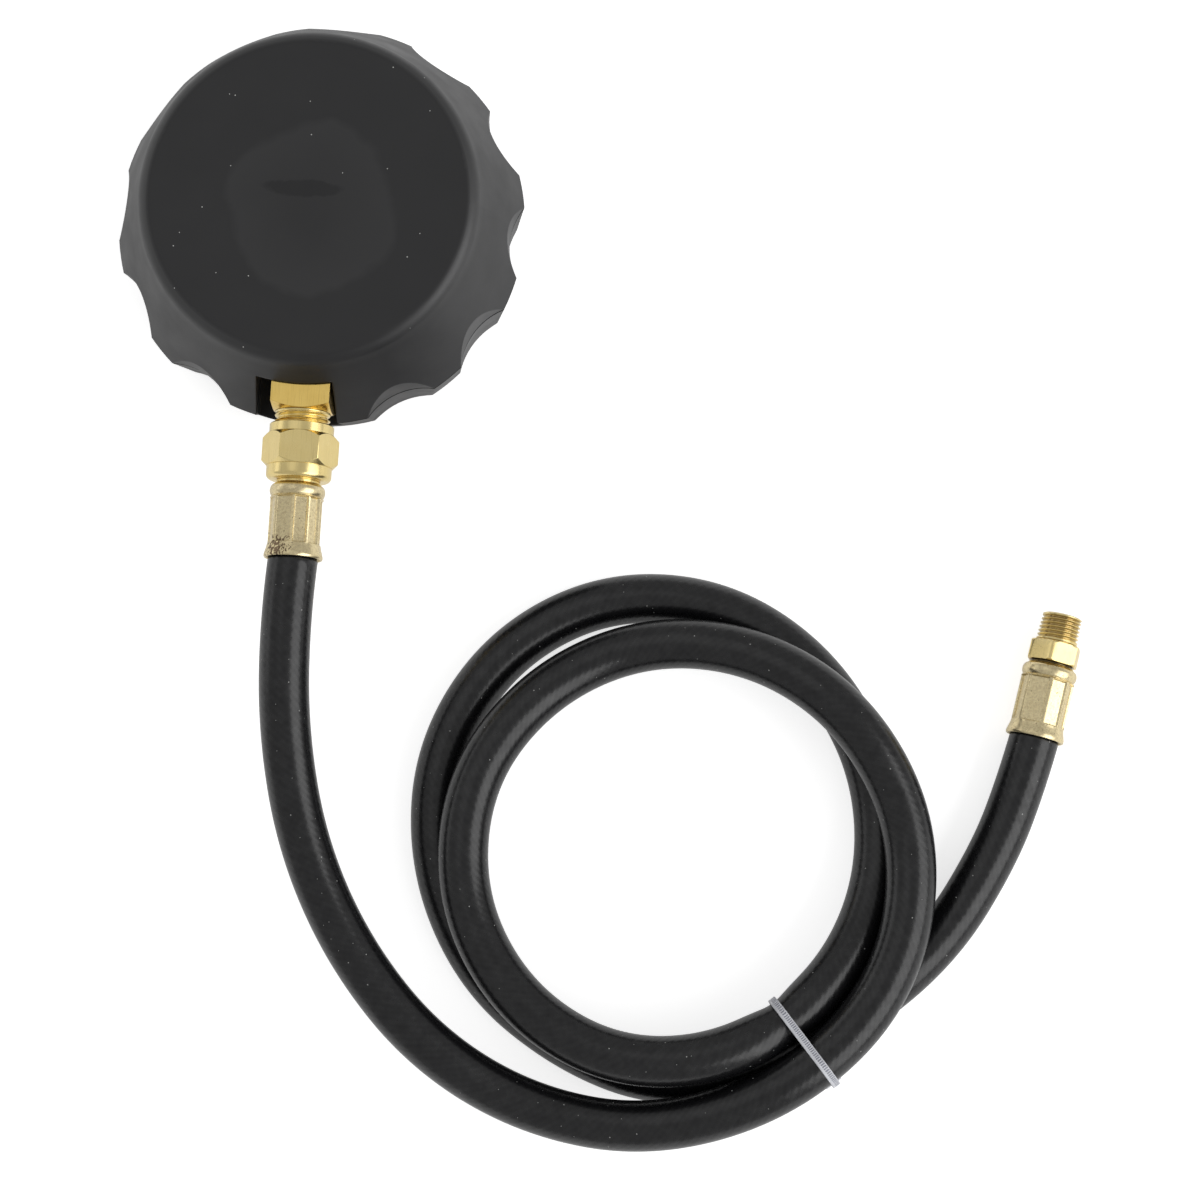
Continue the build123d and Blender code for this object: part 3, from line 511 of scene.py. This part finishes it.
lead_ferrule = add_object("lead_crimp", ferrule("lead_crimp", lead_place, LEAD_RIDGES, LEAD_LAND))
tail_ferrule = add_object("tail_crimp", ferrule("tail_crimp", tail_place, TAIL_RIDGES, TAIL_LAND))
for crimp, node in ((lead_ferrule, "lead_ferrule"), (tail_ferrule, "tail_ferrule")):
    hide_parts(node)
    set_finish(crimp, "crimped_brass")


# ---------------------------------------------------------------- swivel nut
NUT_START, NUT_COLLAR, NUT_HEX, NUT_SKIRT = 50.6, 2.3, 7.6, 3.25
NUT_FLATS = 15.5
NUT_TURN = radians(24.5)
COLLAR_RADIUS, SKIRT_RADIUS, SKIRT_ROUNDING = 7.5, 7.6, 1.2
# the rings of one chamfer: how many, and how far each is past the last, along and out
CHAMFER_RINGS, CHAMFER_ALONG, CHAMFER_OUT = 17, 0.075, 0.0765


def nut_mesh(name):
    """A round collar, a hexagon with both ends chamfered, and a round skirt."""
    hex_start = NUT_START + NUT_COLLAR
    hex_end = hex_start + NUT_HEX
    end = hex_end + NUT_SKIRT
    chamfer = [(CHAMFER_ALONG * k, hexagon(NUT_FLATS, 7.74 + CHAMFER_OUT * k, NUT_TURN))
               for k in range(CHAMFER_RINGS)]
    rings = [(NUT_START + 0.35, 6.56), (NUT_START, 6.9), (NUT_START, 7.25),
             (NUT_START + 0.25, COLLAR_RADIUS), (hex_start - 0.1, COLLAR_RADIUS),
             (hex_start, 7.45)]
    rings += [(hex_start + out, shape) for out, shape in chamfer]
    rings += [(hex_end - out, shape) for out, shape in reversed(chamfer)]
    rings += [(hex_end, 7.55), (hex_end + 0.1, SKIRT_RADIUS)]
    for k in range(8):
        angle = radians(k * 90 / 7)
        rings.append((end - SKIRT_ROUNDING + SKIRT_ROUNDING * sin(angle),
                      SKIRT_RADIUS - SKIRT_ROUNDING + SKIRT_ROUNDING * cos(angle)))
    rings += [(end, 5.2), (end - 0.2, 4.97), (58.0, 4.97), (58.0, 6.56)]
    return turned(name, stem_place, rings, 360, 25)


nut = add_object("hexagon_nut", nut_mesh("hexagon_nut"), body="nut")
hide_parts("swivel_nut")
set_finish(nut, "satin_brass")


# ---------------------------------------------------------------- pressure tube
tube = add_object("pressure_tube", cad["bourdon_tube"].data.copy(), body=None)
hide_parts("bourdon_tube")
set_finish(tube, "tube_bronze")
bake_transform(tube)


# ---------------------------------------------------------------- dial
# The outer scale runs from 0 to 100 and the inner one from 0 to 7; they share a zero.
DIAL_FACE = 9.6
PRINT_THICKNESS = 0.03
OUTER_SCALE, INNER_SCALE = 28.6, 17.6
OUTER_NUMBERS, INNER_NUMBERS = 21.9, 14.6
INNER_AT_FULL = 6.895
FONT_PER_DIGIT = 1.35


def dial_angle(share):
    """The pointer's angle at a share of the outer scale."""
    return radians(-45 + 270 * share)


def dial_point(radius, angle, level):
    return Vector((radius * cos(angle), radius * sin(angle), level)) * MM


def scale_marks(name):
    """Printed arcs and ticks, standing a hair proud of the dial."""
    points, faces = [], []

    def patch(corners):
        base, n = len(points), len(corners)
        for level in (DIAL_FACE - PRINT_THICKNESS, DIAL_FACE):
            points.extend(dial_point(r, a, level) for r, a in corners)
        faces.append(tuple(base + k for k in range(n)))
        faces.append(tuple(base + n + k for k in reversed(range(n))))
        for k in range(n):
            m = (k + 1) % n
            faces.append((base + k, base + n + k, base + n + m, base + m))

    def arc(radius, width, upto, count):
        low, high = radius - width / 2, radius + width / 2
        for k in range(count):
            a, b = dial_angle(upto * k / count), dial_angle(upto * (k + 1) / count)
            patch([(low, a), (high, a), (high, b), (low, b)])

    def ticks(radius, count, per_share, lengths, widths):
        """Ticks of three ranks: every tenth one, every fifth one and the rest."""
        for k in range(count):
            rank = 0 if k % 10 == 0 else 1 if k % 5 == 0 else 2
            inner, outer = sorted((radius, radius + lengths[rank]))
            angle = dial_angle(k / per_share)
            a, b = widths[rank] / 2 / inner, widths[rank] / 2 / outer
            patch([(inner, angle - a), (outer, angle - b), (outer, angle + b), (inner, angle + a)])

    arc(OUTER_SCALE, 0.25, 1, 90)
    ticks(OUTER_SCALE, 51, 50, (-3.2, -2.4, -1.5), (0.45, 0.3, 0.18))
    arc(INNER_SCALE, 0.18, 7 / INNER_AT_FULL, 70)
    ticks(INNER_SCALE, 71, 10 * INNER_AT_FULL, (2.0, 1.4, 0.9), (0.3, 0.15, 0.15))
    return mesh_from(name, points, faces)


def scale_numbers(name):
    """The numbers on the two scales, each upright as seen from the gauge's face."""
    rows = [(v, OUTER_NUMBERS, v / 100, 3.6) for v in range(0, 101, 20)]
    rows += [(v, INNER_NUMBERS, v / INNER_AT_FULL, 2.3) for v in range(8)]
    bm = bmesh.new()
    for value, radius, share, height in rows:
        curve = bpy.data.curves.new("number", "FONT")
        curve.body = str(value)
        curve.size = height * MM * FONT_PER_DIGIT
        curve.align_x = "CENTER"
        curve.align_y = "CENTER"
        curve.extrude = PRINT_THICKNESS * MM / 2
        mesh = meshed(curve)
        place = dial_point(radius, dial_angle(share), DIAL_FACE - PRINT_THICKNESS / 2)
        mesh.transform(Matrix.Translation(place) @ Matrix.Rotation(pi, 4, "Y"))
        bm.from_mesh(mesh)
        bpy.data.meshes.remove(mesh)
    joined = bpy.data.meshes.new(name)
    bm.to_mesh(joined)
    bm.free()
    return joined


marks = add_object("dial_scale", scale_marks("dial_scale"))
numbers = add_object("dial_numbers", scale_numbers("dial_numbers"))
for printed in (marks, numbers):
    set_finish(printed, "pointer_paint")


# ---------------------------------------------------------------- node trees
class Nodes:
    """A node tree with short calls for its nodes."""

    def __init__(self, tree):
        self.tree = tree

    def node(self, kind, inputs=None, **settings):
        made = self.tree.nodes.new("ShaderNode" + kind)
        for key, value in settings.items():
            setattr(made, key, value)
        for key, value in (inputs or {}).items():
            if isinstance(value, bpy.types.NodeSocket):
                self.tree.links.new(value, made.inputs[key])
            else:
                made.inputs[key].default_value = value
        return made

    def maths(self, operation, *values):
        return self.node("Math", dict(enumerate(values)), operation=operation).outputs[0]

    def plus(self, a, b):
        return self.maths("ADD", a, b)

    def minus(self, a, b):
        return self.maths("SUBTRACT", a, b)

    def times(self, a, b):
        return self.maths("MULTIPLY", a, b)

    def ramp(self, value, low, high, to_low=0.0, to_high=1.0):
        return self.node("MapRange", {
            "Value": value, "From Min": low, "From Max": high,
            "To Min": to_low, "To Max": to_high}).outputs[0]

    def mix(self, share, a, b):
        """A colour between two."""
        a, b = (c if isinstance(c, bpy.types.NodeSocket) else (*c, 1) for c in (a, b))
        return self.node("Mix", {0: share, 6: a, 7: b}, data_type="RGBA").outputs[2]

    def mix_value(self, share, a, b):
        """A number between two."""
        return self.node("Mix", {0: share, 2: a, 3: b}, data_type="FLOAT").outputs[0]

    def seen_directly(self):
        """One for a ray from the camera or through something clear, else zero."""
        path = self.node("LightPath").outputs
        return self.maths("MAXIMUM", path["Is Camera Ray"], path["Is Transmission Ray"])


# the finished materials, by name
materials = {}


class Shader(Nodes):
    """A principled material."""

    def __init__(self, name, **sockets):
        self.name = name
        self.material = bpy.data.materials.new(name)
        self.material.use_nodes = True
        super().__init__(self.material.node_tree)
        self.base = self.tree.nodes["Principled BSDF"]
        for key, value in sockets.items():
            self.base.inputs[key.replace("_", " ")].default_value = value
        self.heights = []

    def here(self):
        """The object's own coordinates, in metres."""
        return self.node("TexCoord").outputs["Object"]

    def place(self, scale, shift=(0, 0, 0), coordinates=None):
        """Coordinates in millimetres, stretched by the scale."""
        return self.node("Mapping", {
            "Vector": self.here() if coordinates is None else coordinates,
            "Scale": tuple(s / MM for s in scale), "Location": shift}).outputs["Vector"]

    def noise(self, size, detail=3.0, roughness=0.5, stretch=(1, 1, 1)):
        """Noise whose lumps are about size millimetres across."""
        return self.node("TexNoise", {
            "Vector": self.place(tuple(s / size for s in stretch)), "Scale": 1.0,
            "Detail": detail, "Roughness": roughness}).outputs["Fac"]

    def specks(self, spacing, radius, above, shift=(0, 0, 0), flat=None):
        """Tiny dots, one in some of the cells: those whose own value passes the limit.

        The flat coordinates, in metres, lay them out on a surface.
        """
        made = self.node("TexVoronoi", {
            "Vector": self.place((1 / spacing,) * 3, shift, flat), "Scale": 1.0,
            "Randomness": 1.0}, voronoi_dimensions="3D" if flat is None else "2D")
        own = self.node("SeparateColor", {"Color": made.outputs["Color"]}).outputs[0]
        dot = self.ramp(made.outputs["Distance"], radius, radius * 1.6, 1.0, 0.0)
        return self.times(dot, self.maths("GREATER_THAN", own, above))

    def distance(self, point):
        """How far the surface is from a point, in metres."""
        return self.node("VectorMath", {0: self.here(), 1: point},
                         operation="DISTANCE").outputs["Value"]

    def to(self, socket, value):
        self.tree.links.new(value, self.base.inputs[socket])

    def bump(self, height, depth):
        """Adds a height, of a depth in millimetres, to the bump."""
        self.heights.append(self.times(height, depth))

    def done(self, bevel=0.0):
        normal = None
        if bevel:
            normal = self.node("Bevel", {"Radius": bevel * MM}, samples=6).outputs[0]
        if self.heights:
            total = self.heights[0]
            for height in self.heights[1:]:
                total = self.plus(total, height)
            bump = self.node("Bump", {"Height": total, "Distance": MM, "Strength": 1.0})
            if normal is not None:
                self.tree.links.new(normal, bump.inputs["Normal"])
            normal = bump.outputs[0]
        if normal is not None:
            self.to("Normal", normal)
        materials[self.name] = self.material


# ---------------------------------------------------------------- materials
PARTING_LINE = 17.5


def boot_rubber():
    s = Shader("boot_rubber", IOR=1.5)
    place = s.here()
    axes = s.node("SeparateXYZ", {"Vector": place}).outputs
    x, y, level = (s.times(axis, 1 / MM) for axis in axes)

    def squared(centre, reach):
        """The square of the distance from a centre on the back, reach by reach."""
        parts = [s.times(s.minus(axis, middle), 1 / unit)
                 for axis, middle, unit in zip((x, y), centre, reach)]
        return s.plus(*(s.times(part, part) for part in parts))

    colour = s.mix(s.noise(28, detail=2), (0.0175, 0.0175, 0.0185), (0.0225, 0.0225, 0.0235))
    back = s.ramp(level, 41.0, 42.8)
    # a paler round where the moulding met its core
    warp = s.ramp(s.noise(16, detail=3), 0.0, 1.0, -5.0, 5.0)
    reach = s.plus(s.maths("SQRT", squared((1.5, -3.0), (1, 1))), warp)
    ring = s.times(s.ramp(reach, 18.5, 20.5, 1.0, 0.0), s.ramp(reach, 4.0, 19.0, 0.35, 1.0))
    ring = s.times(ring, back)
    colour = s.mix(s.times(ring, 0.8), colour, (0.031, 0.031, 0.032))
    # a long dark smudge inside it
    smudge = s.plus(squared((-1.5, 1.6), (9.5, 2.0)),
                    s.ramp(s.noise(2.5, detail=3), 0.0, 1.0, -0.8, 0.8))
    smudge = s.times(s.ramp(smudge, 0.7, 1.15, 1.0, 0.0), back)
    colour = s.mix(s.times(smudge, 0.6), colour, (0.008, 0.008, 0.009))
    # the mould's parting line round the rim: a shallow groove, with painted shade in it as a
    # near-black line
    line = s.maths("ABSOLUTE", s.minus(level, PARTING_LINE))
    line = s.ramp(line, 0.54, 0.64, 1.0, 0.0)
    colour = s.mix(line, colour, (0.001, 0.001, 0.001))
    dust = s.times(s.maths("MAXIMUM", s.specks(9.0, 0.009, 0.74, flat=place),
                           s.specks(6.0, 0.016, 0.94, shift=(7, 3, 1), flat=place)), back)
    s.to("Base Color", s.mix(dust, colour, (0.6, 0.6, 0.58)))
    s.to("Roughness", s.ramp(s.noise(9, detail=4), 0.3, 0.7, 0.40, 0.50))
    # the bloom on the rubber is rubbed off below the stem's window
    rubbed = s.maths("ABSOLUTE", s.plus(s.maths("ARCTAN2", y, x), radians(74)))
    ragged = s.plus(rubbed, s.ramp(s.noise(14), 0.3, 0.7, -0.06, 0.06))
    skirt = s.ramp(ragged, radians(12), radians(42), 0.20, 0.56)
    edge = s.ramp(rubbed, radians(12), radians(52), 0.30, 0.80)
    shine = s.mix_value(s.ramp(level, 38.5, 41.5), skirt, edge)
    shine = s.mix_value(s.ramp(level, 42.75, 42.97), shine, 0.38)
    # the parting line's painted shade also takes its shine away
    s.to("Specular IOR Level", s.times(shine, s.minus(1.0, line)))
    s.bump(s.noise(0.35, detail=2), 0.010)
    s.bump(s.noise(22, detail=1), 0.25)
    s.bump(line, -0.3)
    s.done(bevel=0.7)


BRAID_STRANDS = 18


def hose_rubber():
    s = Shader("hose_rubber", IOR=1.5)
    along_hose = s.node("UVMap", uv_map="along_hose").outputs[0]
    length, girth = s.node("SeparateXYZ", {"Vector": along_hose}).outputs[:2]
    # the braid inside shows faintly through, one of its two ways more than the other
    turns = BRAID_STRANDS / HOSE_GIRTH * tau
    leaning = [s.maths("SINE", s.maths("MULTIPLY_ADD", length, turns, s.times(girth, way * turns)))
               for way in (1, -1)]
    braid = s.plus(leaning[0], s.times(leaning[1], 0.35))
    colour = s.mix(s.noise(14, detail=3), (0.0036, 0.0036, 0.0042), (0.0058, 0.0058, 0.0066))
    dust = s.maths("MAXIMUM", s.specks(6.0, 0.018, 0.70, flat=along_hose),
                   s.specks(3.4, 0.02, 0.88, shift=(5, 2, 8), flat=along_hose))
    s.to("Base Color", s.mix(dust, colour, (0.30, 0.30, 0.29)))
    worn = s.noise(2.2, detail=4)
    s.to("Roughness", s.ramp(worn, 0.3, 0.7, 0.24, 0.29))
    s.to("Specular IOR Level", s.ramp(s.plus(s.times(braid, 0.06), worn), 0.2, 0.8, 0.42, 0.64))
    s.bump(braid, 0.0048)
    s.bump(s.noise(0.6, detail=2), 0.004)
    s.done()


# where the sleeve at the gauge is dirtiest, near its mouth
DIRTY_MOUTH = Vector((-3.2, -80.3, 31.5)) * MM
PRESSED_SKIN = 0.012


def pressed_skin(s, colour, hollows):
    """The uneven, pitted skin of a pressed sleeve."""
    skin = s.noise(0.5, detail=3, roughness=0.6)
    colour = s.mix(s.ramp(skin, 0.40, 0.72), colour, hollows)
    s.bump(skin, PRESSED_SKIN)
    s.bump(s.noise(0.3, detail=2), PRESSED_SKIN * 0.25)
    near = s.ramp(s.distance(DIRTY_MOUTH), 1.5 * MM, 5.0 * MM, 0.14, -0.1)
    pits = s.ramp(s.plus(s.noise(0.45, detail=2, stretch=(1, 0.6, 1)), near), 0.60, 0.64)
    s.bump(pits, -0.05)
    return s.mix(s.times(pits, 0.85), colour, (0.09, 0.045, 0.03))


def end_dirt(s, colour):
    """The far thread is a little paler than the rest, with painted shade at its roots,
    and painted shade in the narrow gap between the hexagon and the sleeve."""
    away = s.distance(tail_place @ Vector((0, 0, 0.0265)))
    colour = s.mix(s.ramp(away, 4.5 * MM, 8.0 * MM, 0.5, 0.0), colour, (0.92, 0.81, 0.50))
    offset = s.node("VectorMath", {0: s.here(), 1: tail_place.translation},
                    operation="SUBTRACT").outputs[0]
    aside = s.node("VectorMath", {0: offset, 1: TAIL_AXIS}, operation="CROSS_PRODUCT").outputs[0]
    radius = s.node("VectorMath", {0: aside}, operation="LENGTH").outputs["Value"]
    # painted shade in the thread's roots, darker nearer the axis
    roots = s.times(s.ramp(radius, 4.25 * MM, 4.75 * MM, 0.62, 0.0),
                    s.ramp(away, 5.0 * MM, 6.5 * MM, 1.0, 0.0))
    colour = s.mix(roots, colour, (0.34, 0.23, 0.09))
    # painted shade in the narrow gap between the hexagon and the sleeve, near black
    groove = s.distance(tail_place @ Vector((0, 0, 0.0178)))
    return s.mix(s.ramp(groove, 5.2 * MM, 5.4 * MM, 0.92, 0.0), colour, (0.05, 0.03, 0.012))


def brass(name, low, high, roughness, ripples=None, hollows=None, flecks=0.0, shaded_end=False):
    """Turned or pressed brass.

    Ripples are the fine lines of drawing and turning, round the given axis. Hollows are
    the colour of the low places in a pressed skin. Flecks are tiny dark spots, given as
    the share of places that have one.
    """
    s = Shader(name, Metallic=1.0)
    colour = s.mix(s.noise(3.5, detail=4), low, high)
    if ripples:
        fine = s.noise(0.22, detail=2, stretch=(ripples[0], ripples[1] * 0.4, ripples[2]))
        colour = s.mix(s.ramp(fine, 0.54, 0.72, 0.0, 0.30), colour, tuple(c * 0.62 for c in low))
    if hollows:
        colour = pressed_skin(s, colour, hollows)
    if shaded_end:
        # painted shade at the end fitting's thread roots and in the gap by its hexagon
        colour = end_dirt(s, colour)
    if flecks:
        spots = s.times(s.specks(1.1, 0.07, 1 - flecks), 0.8)
        colour = s.mix(spots, colour, (0.10, 0.07, 0.03))
    s.to("Base Color", colour)
    s.to("Roughness", s.ramp(s.noise(1.6, detail=3), 0.3, 0.7, roughness - 0.03, roughness + 0.04))
    if ripples:
        s.bump(s.noise(0.3, detail=2, stretch=ripples), 0.004)
    s.done(bevel=0.12)


def plain(name, low, high, roughness, metallic=1.0, grain=0.004, size=0.8):
    """Metal or paint between two close colours, with a fine grain."""
    s = Shader(name, Metallic=metallic)
    s.to("Base Color", s.mix(s.noise(4, detail=3), low, high))
    s.to("Roughness", s.ramp(s.noise(1.5, detail=3), 0.3, 0.7, roughness - 0.04, roughness + 0.05))
    s.bump(s.noise(size, detail=2), grain)
    s.done(bevel=0.1)


def clear_nylon():
    s = Shader("clear_nylon", IOR=1.53, Transmission_Weight=0.25)
    colour = s.mix(s.noise(2.5, detail=3), (0.74, 0.75, 0.80), (0.86, 0.87, 0.91))
    unshaded = s.node("Attribute", attribute_name="unshaded").outputs["Fac"]
    # painted shade: the floors between the strap's ribs are blue-grey
    s.to("Base Color", s.mix(unshaded, (0.33, 0.34, 0.40), colour))
    s.to("Roughness", s.ramp(s.noise(0.8), 0.3, 0.7, 0.35, 0.5))
    s.bump(s.noise(0.25), 0.01)
    s.done()


def window():
    s = Shader("window", IOR=1.49, Transmission_Weight=1.0)
    s.to("Base Color", s.mix(s.noise(20), (0.96, 0.98, 0.98), (0.98, 0.99, 0.99)))
    s.to("Roughness", s.ramp(s.noise(6, detail=4), 0.3, 0.7, 0.01, 0.05))
    s.done()


boot_rubber()
hose_rubber()
brass("polished_brass", (0.80, 0.55, 0.15), (0.88, 0.64, 0.20), 0.20, ripples=(1, 0.08, 1))
brass("satin_brass", (0.85, 0.67, 0.28), (0.91, 0.74, 0.35), 0.24, ripples=(1, 0.06, 1),
      flecks=0.05, shaded_end=True)
brass("crimped_brass", (0.79, 0.66, 0.38), (0.90, 0.78, 0.48), 0.28,
      hollows=(0.60, 0.49, 0.29), flecks=0.05)
plain("tube_bronze", (0.52, 0.28, 0.12), (0.62, 0.36, 0.17), 0.30)
plain("movement_brass", (0.66, 0.44, 0.15), (0.76, 0.54, 0.22), 0.28)
plain("spring_bronze", (0.58, 0.34, 0.14), (0.66, 0.42, 0.20), 0.22)
plain("zinc_steel", (0.52, 0.54, 0.56), (0.62, 0.63, 0.65), 0.30)
plain("bezel_chrome", (0.62, 0.63, 0.65), (0.70, 0.71, 0.72), 0.12)
plain("case_paint", (0.010, 0.010, 0.011), (0.016, 0.016, 0.017), 0.42,
      metallic=0.0, grain=0.01)
plain("gasket_rubber", (0.008, 0.008, 0.008), (0.014, 0.014, 0.014), 0.6,
      metallic=0.0, grain=0.02, size=0.4)
plain("dial_paint", (0.80, 0.80, 0.78), (0.85, 0.85, 0.83), 0.5, metallic=0.0, size=0.3)
plain("pointer_paint", (0.008, 0.008, 0.009), (0.014, 0.014, 0.015), 0.45,
      metallic=0.0, size=0.3)
window()
clear_nylon()


def dress(piece, slot_name):
    data = piece.data
    if len(data.materials):
        for index in range(len(data.materials)):
            data.materials[index] = materials[slot_name]
    else:
        data.materials.append(materials[slot_name])


for part in frame["record"]["subparts"]:
    dress(cad[part["node"]], part["material_slot"])
for piece in (hose, tie, fitting, stem, nut, lead_ferrule, tail_ferrule, tube, marks, numbers):
    dress(piece, piece["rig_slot"])


# ---------------------------------------------------------------- floor and lights
FLOOR_HALF = 6
# a hair under the object, so that no two faces share a plane
FLOOR_Z = -0.0001
FLOOR_PAINT = 0.86
# the floor glows: enough to be seen as white, and less in what mirrors it
FLOOR_GLOW, FLOOR_MIRRORED = 0.68, 0.26
WORLD_LEVEL = 0.48
KEY_POWER = 10.4
SIDE_POWER = 1.0
TOP_POWER = 0.55
LAMP_DISTANCE = 1.3
LIT_CENTRE = Vector((0.06, -0.08, 0.02))


def floor_material():
    material = bpy.data.materials.new("floor")
    material.use_nodes = True
    n = Nodes(material.node_tree)
    n.tree.nodes.clear()
    paint = n.node("BsdfDiffuse", {"Color": (FLOOR_PAINT, FLOOR_PAINT, FLOOR_PAINT, 1)})
    mirrored = n.times(n.node("LightPath").outputs["Is Glossy Ray"], FLOOR_MIRRORED)
    glow = n.node("Emission", {
        "Strength": n.maths("MULTIPLY_ADD", n.seen_directly(), FLOOR_GLOW, mirrored)})
    both = n.node("AddShader", {0: paint.outputs[0], 1: glow.outputs[0]})
    n.node("OutputMaterial", {"Surface": both.outputs[0]})
    return material


floor_corners = [(x * FLOOR_HALF, y * FLOOR_HALF, FLOOR_Z)
                 for x, y in ((-1, -1), (1, -1), (1, 1), (-1, 1))]
floor_mesh = mesh_from("floor", floor_corners, [(0, 1, 2, 3)])
floor = add_object("floor", floor_mesh, body=None)
floor_mesh.materials.append(floor_material())

# the world lights the object by its level, and is white where it is seen
world = bpy.data.worlds.new("world")
scene.world = world
world.use_nodes = True
sky = Nodes(world.node_tree)
background = sky.tree.nodes["Background"].inputs
background["Color"].default_value = (1, 1, 1, 1)
sky.tree.links.new(sky.ramp(sky.seen_directly(), 0.0, 1.0, WORLD_LEVEL, 1.0),
                   background["Strength"])


def softbox(name, bearing, zenith, size, power):
    """A soft lamp towards a bearing from +X, at an angle from straight up, in degrees."""
    b, z = radians(bearing), radians(zenith)
    direction = Vector((sin(z) * cos(b), sin(z) * sin(b), cos(z)))
    data = bpy.data.lights.new(name, "AREA")
    data.shape = "RECTANGLE"
    data.size, data.size_y = size
    data.energy = power
    lamp = bpy.data.objects.new(name, data)
    scene.collection.objects.link(lamp)
    lamp.location = LIT_CENTRE + direction * LAMP_DISTANCE
    lamp.rotation_mode = "QUATERNION"
    lamp.rotation_quaternion = (LIT_CENTRE - lamp.location).to_track_quat("-Z", "Y")


softbox("key", -22, 56, (1.6, 1.05), KEY_POWER)
softbox("side", 160, 76, (1.2, 0.45), SIDE_POWER)
softbox("top", 135, 26, (0.85, 0.85), TOP_POWER)

scene.view_settings.view_transform = "Standard"
